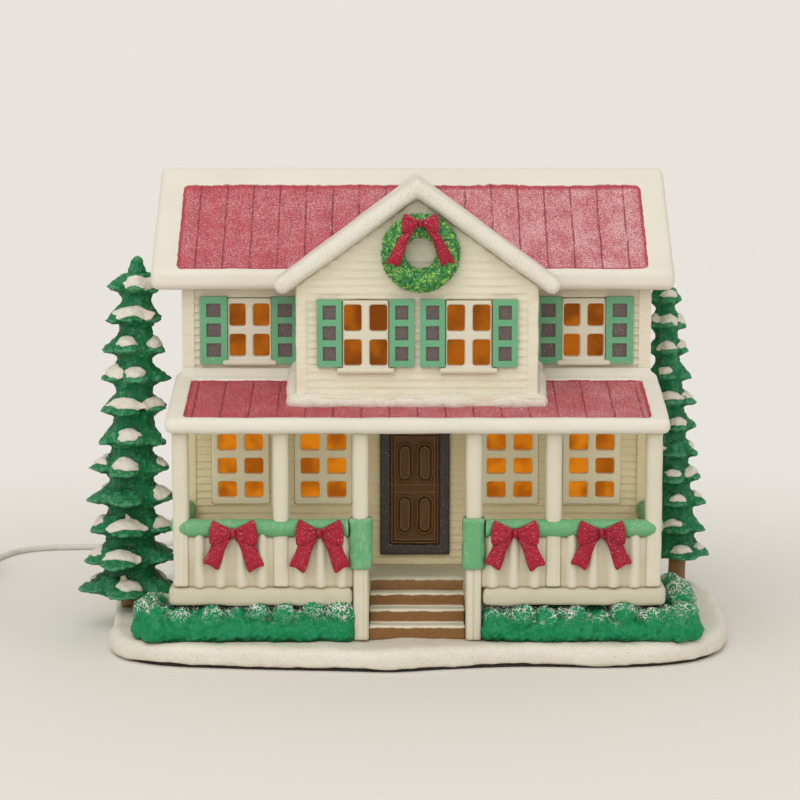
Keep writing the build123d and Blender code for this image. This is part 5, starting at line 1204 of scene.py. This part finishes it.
class VILLAGE_OT_bows(bpy.types.Operator):
    """Model the wreath and the red bows"""
    bl_idname = "village.bows"
    bl_label = "Wreath and bows"

    # Outlines of one loop and one tail as shares of the bow's width, from the knot outwards
    loop_shares = (
        (0.04, 0.075), (0.16, 0.125), (0.345, 0.235), (0.385, 0.10), (0.405, -0.04), (0.395, -0.205),
        (0.25, -0.20), (0.13, -0.13), (0.04, -0.075))
    tail_shares = (
        (0.06, -0.07), (0.34, -0.15), (0.41, -0.33), (0.53, -0.55), (0.40, -0.565), (0.255, -0.68),
        (0.19, -0.50), (0.145, -0.33), (0.095, -0.20), (0.03, -0.12))
    # The tails of the wreath's bow are long and spread
    ribbon_shares = (
        (0.10, -0.05), (0.34, -0.14), (0.50, -0.40), (0.67, -0.72), (0.76, -0.90), (0.59, -0.87),
        (0.46, -0.98), (0.37, -0.72), (0.27, -0.40), (0.12, -0.16))
    # Inset and lift of each step of a puffed front
    puff_steps = ((0.0005, 0.0005), (0.0008, 0.0004), (0.0009, 0.0001))
    tail_thickness = 0.0014
    loop_thickness = 0.0018
    loop_lift = 0.0006
    fold_depth = 0.0008
    # The wreath: radius of its ring, what the ring and its leaves take of the half width, and its set-back
    ring_radius = 0.0113
    rope_margin = 0.0114
    ring_set_back = 0.0030
    leaf_lengths = (0.0011, 0.0019)
    leaf_widths = (0.0004, 0.0007)
    leaf_thickness = 0.00055

    def execute(self, context):
        colours = context.scene.village_colours
        sizes = context.scene.village_sizes
        red = bow_finish(colours)
        for number in range(1, 5):
            node = f"rail_bow_{number}"
            low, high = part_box(node)
            knot = Vector(((low.x + high.x) / 2, high.y - 0.3 * MM, high.z - sizes.bow_width * 0.135))
            self.bow(f"red_bow_{number}", node, knot, sizes.bow_width, self.tail_shares, red, number)
        low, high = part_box("wreath_bow")
        knot = Vector(((low.x + high.x) / 2, high.y + 0.2 * MM, high.z - sizes.wreath_bow_width * 0.24))
        self.bow("wreath_ribbon", "wreath_bow", knot, sizes.wreath_bow_width, self.ribbon_shares, red, 7)
        self.wreath(leaf_finish(colours), sizes)
        return {"FINISHED"}

    def pillow(self, bm, outline, back, thickness):
        """A puffed plate of an outline, its back on a plane across Y."""
        face = bm.faces.new([bm.verts.new((x, back, z)) for x, z in outline])
        grown = bmesh.ops.extrude_face_region(bm, geom=[face])
        front = [item for item in grown["geom"] if isinstance(item, bmesh.types.BMFace)]
        moved = [item for item in grown["geom"] if isinstance(item, bmesh.types.BMVert)]
        bmesh.ops.translate(bm, verts=moved, vec=(0.0, -thickness, 0.0))
        bm.normal_update()
        if front[0].normal.y > 0:
            bmesh.ops.reverse_faces(bm, faces=front)
        for inset, lift in self.puff_steps:
            bmesh.ops.inset_region(bm, faces=front, thickness=inset, depth=lift, use_even_offset=True)

    def bow(self, name, node, knot, width, tail_shares, finish, seed):
        """A bow with two puffed loops, a knot and two notched tails."""
        draw = random.Random(seed)
        bm = bmesh.new()
        plates = (
            (tail_shares, knot.y, self.tail_thickness),
            (self.loop_shares, knot.y - self.loop_lift, self.loop_thickness))
        for side in (-1, 1):
            tall = draw.uniform(0.95, 1.05)
            for shares, back, thickness in plates:
                outline = [(knot.x + side * width * x, knot.z + width * z * tall) for x, z in shares]
                self.pillow(bm, outline, back, thickness)
        bmesh.ops.subdivide_edges(bm, edges=bm.edges[:], cuts=1, use_grid_fill=True)
        for vertex in bm.verts:
            away = math.hypot(vertex.co.x - knot.x, vertex.co.z - knot.z)
            angle = math.atan2(vertex.co.z - knot.z, abs(vertex.co.x - knot.x))
            if vertex.co.y < knot.y - 0.0012 and angle > -0.75:
                fade = max(0.0, 1.0 - away / (0.36 * width))
                vertex.co.y += self.fold_depth * math.sin(angle * 9.0) * fade
        shape = Matrix.Diagonal((0.065 * width, 0.0023, 0.090 * width, 1.0))
        bmesh.ops.create_icosphere(
            bm, subdivisions=3, radius=1.0,
            matrix=Matrix.Translation((knot.x, knot.y - 0.0013, knot.z - 0.01 * width)) @ shape)
        piece = new_piece(bm, name, "house", finish, "red_paint", node)
        rounding = piece.modifiers.new("Rounding", "SUBSURF")
        rounding.levels = 2
        rounding.render_levels = 2

    def wreath(self, finish, sizes):
        """A ring of short leaves that point every way."""
        low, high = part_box("wreath")
        middle = (low + high) / 2
        rope = (high.x - low.x) / 2 - self.rope_margin
        ring = self.ring_radius
        draw = random.Random(3)
        bm = bmesh.new()
        tone = bm.verts.layers.float.new("leaf")
        bmesh.ops.create_circle(
            bm, segments=20, radius=rope * 0.9,
            matrix=Matrix.Translation((ring, 0.0, 0.0)) @ Matrix.Rotation(math.pi / 2, 4, "X"))
        bmesh.ops.spin(
            bm, geom=bm.edges[:], cent=(0.0, 0.0, 0.0), axis=(0.0, 0.0, 1.0), angle=2.0 * math.pi, steps=72,
            use_merge=True, use_duplicate=False)
        for vertex in bm.verts:
            vertex[tone] = 0.22
        for _ in range(sizes.wreath_leaves):
            round_ring = draw.uniform(0.0, 2.0 * math.pi)
            round_rope = draw.uniform(-0.15, math.pi + 0.15)
            spot = Vector((ring + rope * 0.9 * math.cos(round_rope), 0.0, rope * 0.9 * math.sin(round_rope)))
            leaf = Matrix.Rotation(round_ring, 4, "Z") @ Matrix.Translation(spot)
            leaf @= Matrix.Rotation(-round_rope + math.pi / 2, 4, "Y")
            twist = Matrix.Rotation(draw.uniform(0.0, math.pi), 4, "Z")
            leaf @= twist @ Matrix.Rotation(draw.uniform(0.1, 0.5), 4, "Y")
            size = (draw.uniform(*self.leaf_lengths), draw.uniform(*self.leaf_widths), self.leaf_thickness)
            leaf @= Matrix.Diagonal((*size, 1.0))
            made = bmesh.ops.create_icosphere(bm, subdivisions=1, radius=1.0, matrix=leaf)
            value = draw.random()
            for vertex in made["verts"]:
                vertex[tone] = value
        stand = Matrix.Translation((middle.x, high.y - self.ring_set_back, middle.z))
        bmesh.ops.transform(bm, matrix=stand @ Matrix.Rotation(math.pi / 2, 4, "X"), verts=bm.verts)
        for vertex in bm.verts:
            vertex.co.y = min(vertex.co.y, high.y)
        new_piece(bm, "wreath_leaves", "house", finish, "green_paint", "wreath")


class VILLAGE_OT_lamp(bpy.types.Operator):
    """Finish the clip-in lamp, its bulb, the switch and the plug"""
    bl_idname = "village.lamp"
    bl_label = "Lamp"

    def execute(self, context):
        colours = context.scene.village_colours
        sizes = context.scene.village_sizes
        nodes = frame["nodes"]
        white = vinyl_finish("lamp_white", colours.lamp, colours.lamp_mark, 0.42)
        dress(white, "lamp_socket", "socket_cap", "strain_relief", "switch_top", "switch_bottom", "plug_body")
        dress(vinyl_finish("wheel_grey", colours.wheel, colours.wheel_mark, 0.45), "switch_wheel")
        dress(vinyl_finish("tie_black", colours.tie, colours.tie_mark, 0.5), "cord_tie")
        dress(metal_finish("clip_steel", colours.steel, 0.3), "socket_clip")
        dress(metal_finish("brass", colours.brass, 0.28), "bulb_base", "plug_blades")
        dress(metal_finish("tungsten", colours.tungsten, 0.4), "bulb_filament")
        dress(glass_finish(colours), "bulb_glass")
        for name in ("socket_cap", "strain_relief", "switch_top", "switch_bottom", "plug_body"):
            soften(nodes[name], sizes.fine_grid * 0.8, passes=2)
        return {"FINISHED"}


class VILLAGE_OT_cords(bpy.types.Operator):
    """Lay the lead from the lamp to its switch, and on to the coil and the plug"""
    bl_idname = "village.cords"
    bl_label = "Lead"

    # The lead's route from the strain relief to the switch, in the house's own frame
    lead_route = (
        (0.0, 0.1007, 0.038), (0.0, 0.114, 0.038), (-0.0025, 0.131, 0.032), (-0.008, 0.147, 0.023),
        (-0.017, 0.162, 0.014), (-0.029, 0.174, 0.0085), (-0.043, 0.180, 0.0065), (-0.056, 0.180, 0.0065))
    # From the switch along the floor to the coil
    run_route = (
        (-0.096, 0.180, 0.0065), (-0.109, 0.180, 0.0065), (-0.124, 0.1812, 0.0034), (-0.141, 0.1828, 0.0015),
        (-0.159, 0.1826, 0.0015), (-0.177, 0.181, 0.0015), (-0.193, 0.1786, 0.0015), (-0.204, 0.170, 0.0015),
        (-0.2095, 0.156, 0.0015), (-0.2125, 0.142, 0.002), (-0.214, 0.130, 0.0026), (-0.214, 0.119, 0.0026))
    # From the coil's end to the plug: steps along Y and up
    tail_steps = ((-0.014, 0.0), (-0.029, -0.0034), (-0.044, -0.0064), (-0.057, -0.0064))
    coil_radius = 0.021
    coil_pitch = 0.0036
    layer_pitch = 0.0036
    layers = 4
    half_turns = 4
    points_per_half = 12

    def execute(self, context):
        colours = context.scene.village_colours
        sizes = context.scene.village_sizes
        vinyl = vinyl_finish("cord_vinyl", colours.cord, colours.cord_mark, 0.42)
        thickness = sizes.cord_diameter
        lead = self.lay("lead_to_switch", self.placed(self.lead_route), thickness, vinyl)
        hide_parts("cord_lead")
        run = self.placed(self.run_route)
        coil, heading = self.coil(run[-1], thickness)
        end = coil[-1] + Vector((0.0, heading * thickness, 0.0))
        tail = [end] + [end + Vector((0.0, along, up)) for along, up in self.tail_steps]
        mains = self.lay("lead_to_plug", run + coil + tail, thickness, vinyl)
        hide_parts("cord_run", "cord_coil", "cord_tail")
        return {"FINISHED"}

    def placed(self, route):
        """A route moved from the house's own frame to the part's."""
        return [Vector((HOUSE_X + x, y, z)) for x, y, z in route]

    def coil(self, start, thickness):
        """Points of the put-away coil: half circles that draw in and out, layer on layer."""
        steps = []
        for layer in range(self.layers):
            halves = self.half_turns - (1 if layer == self.layers - 1 else 0)
            inward = layer % 2 == 0
            order = range(halves) if inward else range(self.half_turns - 1, self.half_turns - 1 - halves, -1)
            steps += [(self.coil_radius - index * self.coil_pitch / 2, 0.0) for index in order]
            if layer < self.layers - 1:
                turned = self.half_turns if inward else -1
                steps.append((self.coil_radius - turned * self.coil_pitch / 2, self.layer_pitch))
        points = []
        corner = start + Vector((0.0, -thickness, 0.0))
        heading = -1
        for radius, climb in steps:
            across = math.sqrt((2.0 * radius) ** 2 - climb ** 2)
            after = corner + Vector((heading * across, 0.0, climb))
            middle = (corner + after) / 2
            for step in range(self.points_per_half):
                angle = math.pi * step / self.points_per_half
                points.append(middle + (corner - middle) * math.cos(angle)
                              + Vector((0.0, heading * radius * math.sin(angle), 0.0)))
            corner = after
            heading = -heading
        return points + [corner], heading

    def lay(self, name, points, thickness, finish):
        """One smooth round cord through its route's control points."""
        curve = bpy.data.curves.new(name, "CURVE")
        curve.dimensions = "3D"
        curve.bevel_depth = thickness / 2
        curve.bevel_resolution = 5
        curve.resolution_u = 8
        curve.use_fill_caps = True
        spline = curve.splines.new("NURBS")
        spline.points.add(len(points) - 1)
        for point, place in zip(spline.points, points):
            point.co = (*place, 1.0)
        spline.order_u = 3
        spline.use_endpoint_u = True
        curve.materials.append(finish)
        cord = bpy.data.objects.new(name, curve)
        bpy.context.scene.collection.objects.link(cord)
        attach(cord, "light_kit")
        return cord


class VILLAGE_PT_pieces(bpy.types.Panel):
    """Lists the steps that dress the house"""
    bl_label = "Village House"
    bl_idname = "VILLAGE_PT_pieces"
    bl_space_type = "VIEW_3D"
    bl_region_type = "UI"
    bl_category = "Village House"

    def draw(self, context):
        for step in STEPS:
            self.layout.operator(step.bl_idname)


STEPS = (
    VILLAGE_OT_stage, VILLAGE_OT_castings, VILLAGE_OT_cords, VILLAGE_OT_trees, VILLAGE_OT_greenery,
    VILLAGE_OT_bows, VILLAGE_OT_lamp,
)
GROUPS = (VillageColours, VillageSizes, VillageStage)


def register():
    for item in (*GROUPS, *STEPS, VILLAGE_PT_pieces):
        bpy.utils.register_class(item)
    bpy.types.Scene.village_colours = PointerProperty(type=VillageColours)
    bpy.types.Scene.village_sizes = PointerProperty(type=VillageSizes)
    bpy.types.Scene.village_stage = PointerProperty(type=VillageStage)


def unregister():
    del bpy.types.Scene.village_stage
    del bpy.types.Scene.village_sizes
    del bpy.types.Scene.village_colours
    for item in reversed((*GROUPS, *STEPS, VILLAGE_PT_pieces)):
        bpy.utils.unregister_class(item)


def main():
    register()
    bpy.ops.village.stage()
    bpy.ops.village.castings()
    bpy.ops.village.cords()
    bpy.ops.village.trees()
    bpy.ops.village.greenery()
    bpy.ops.village.bows()
    bpy.ops.village.lamp()
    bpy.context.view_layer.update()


if __name__ == "__main__":
    main()
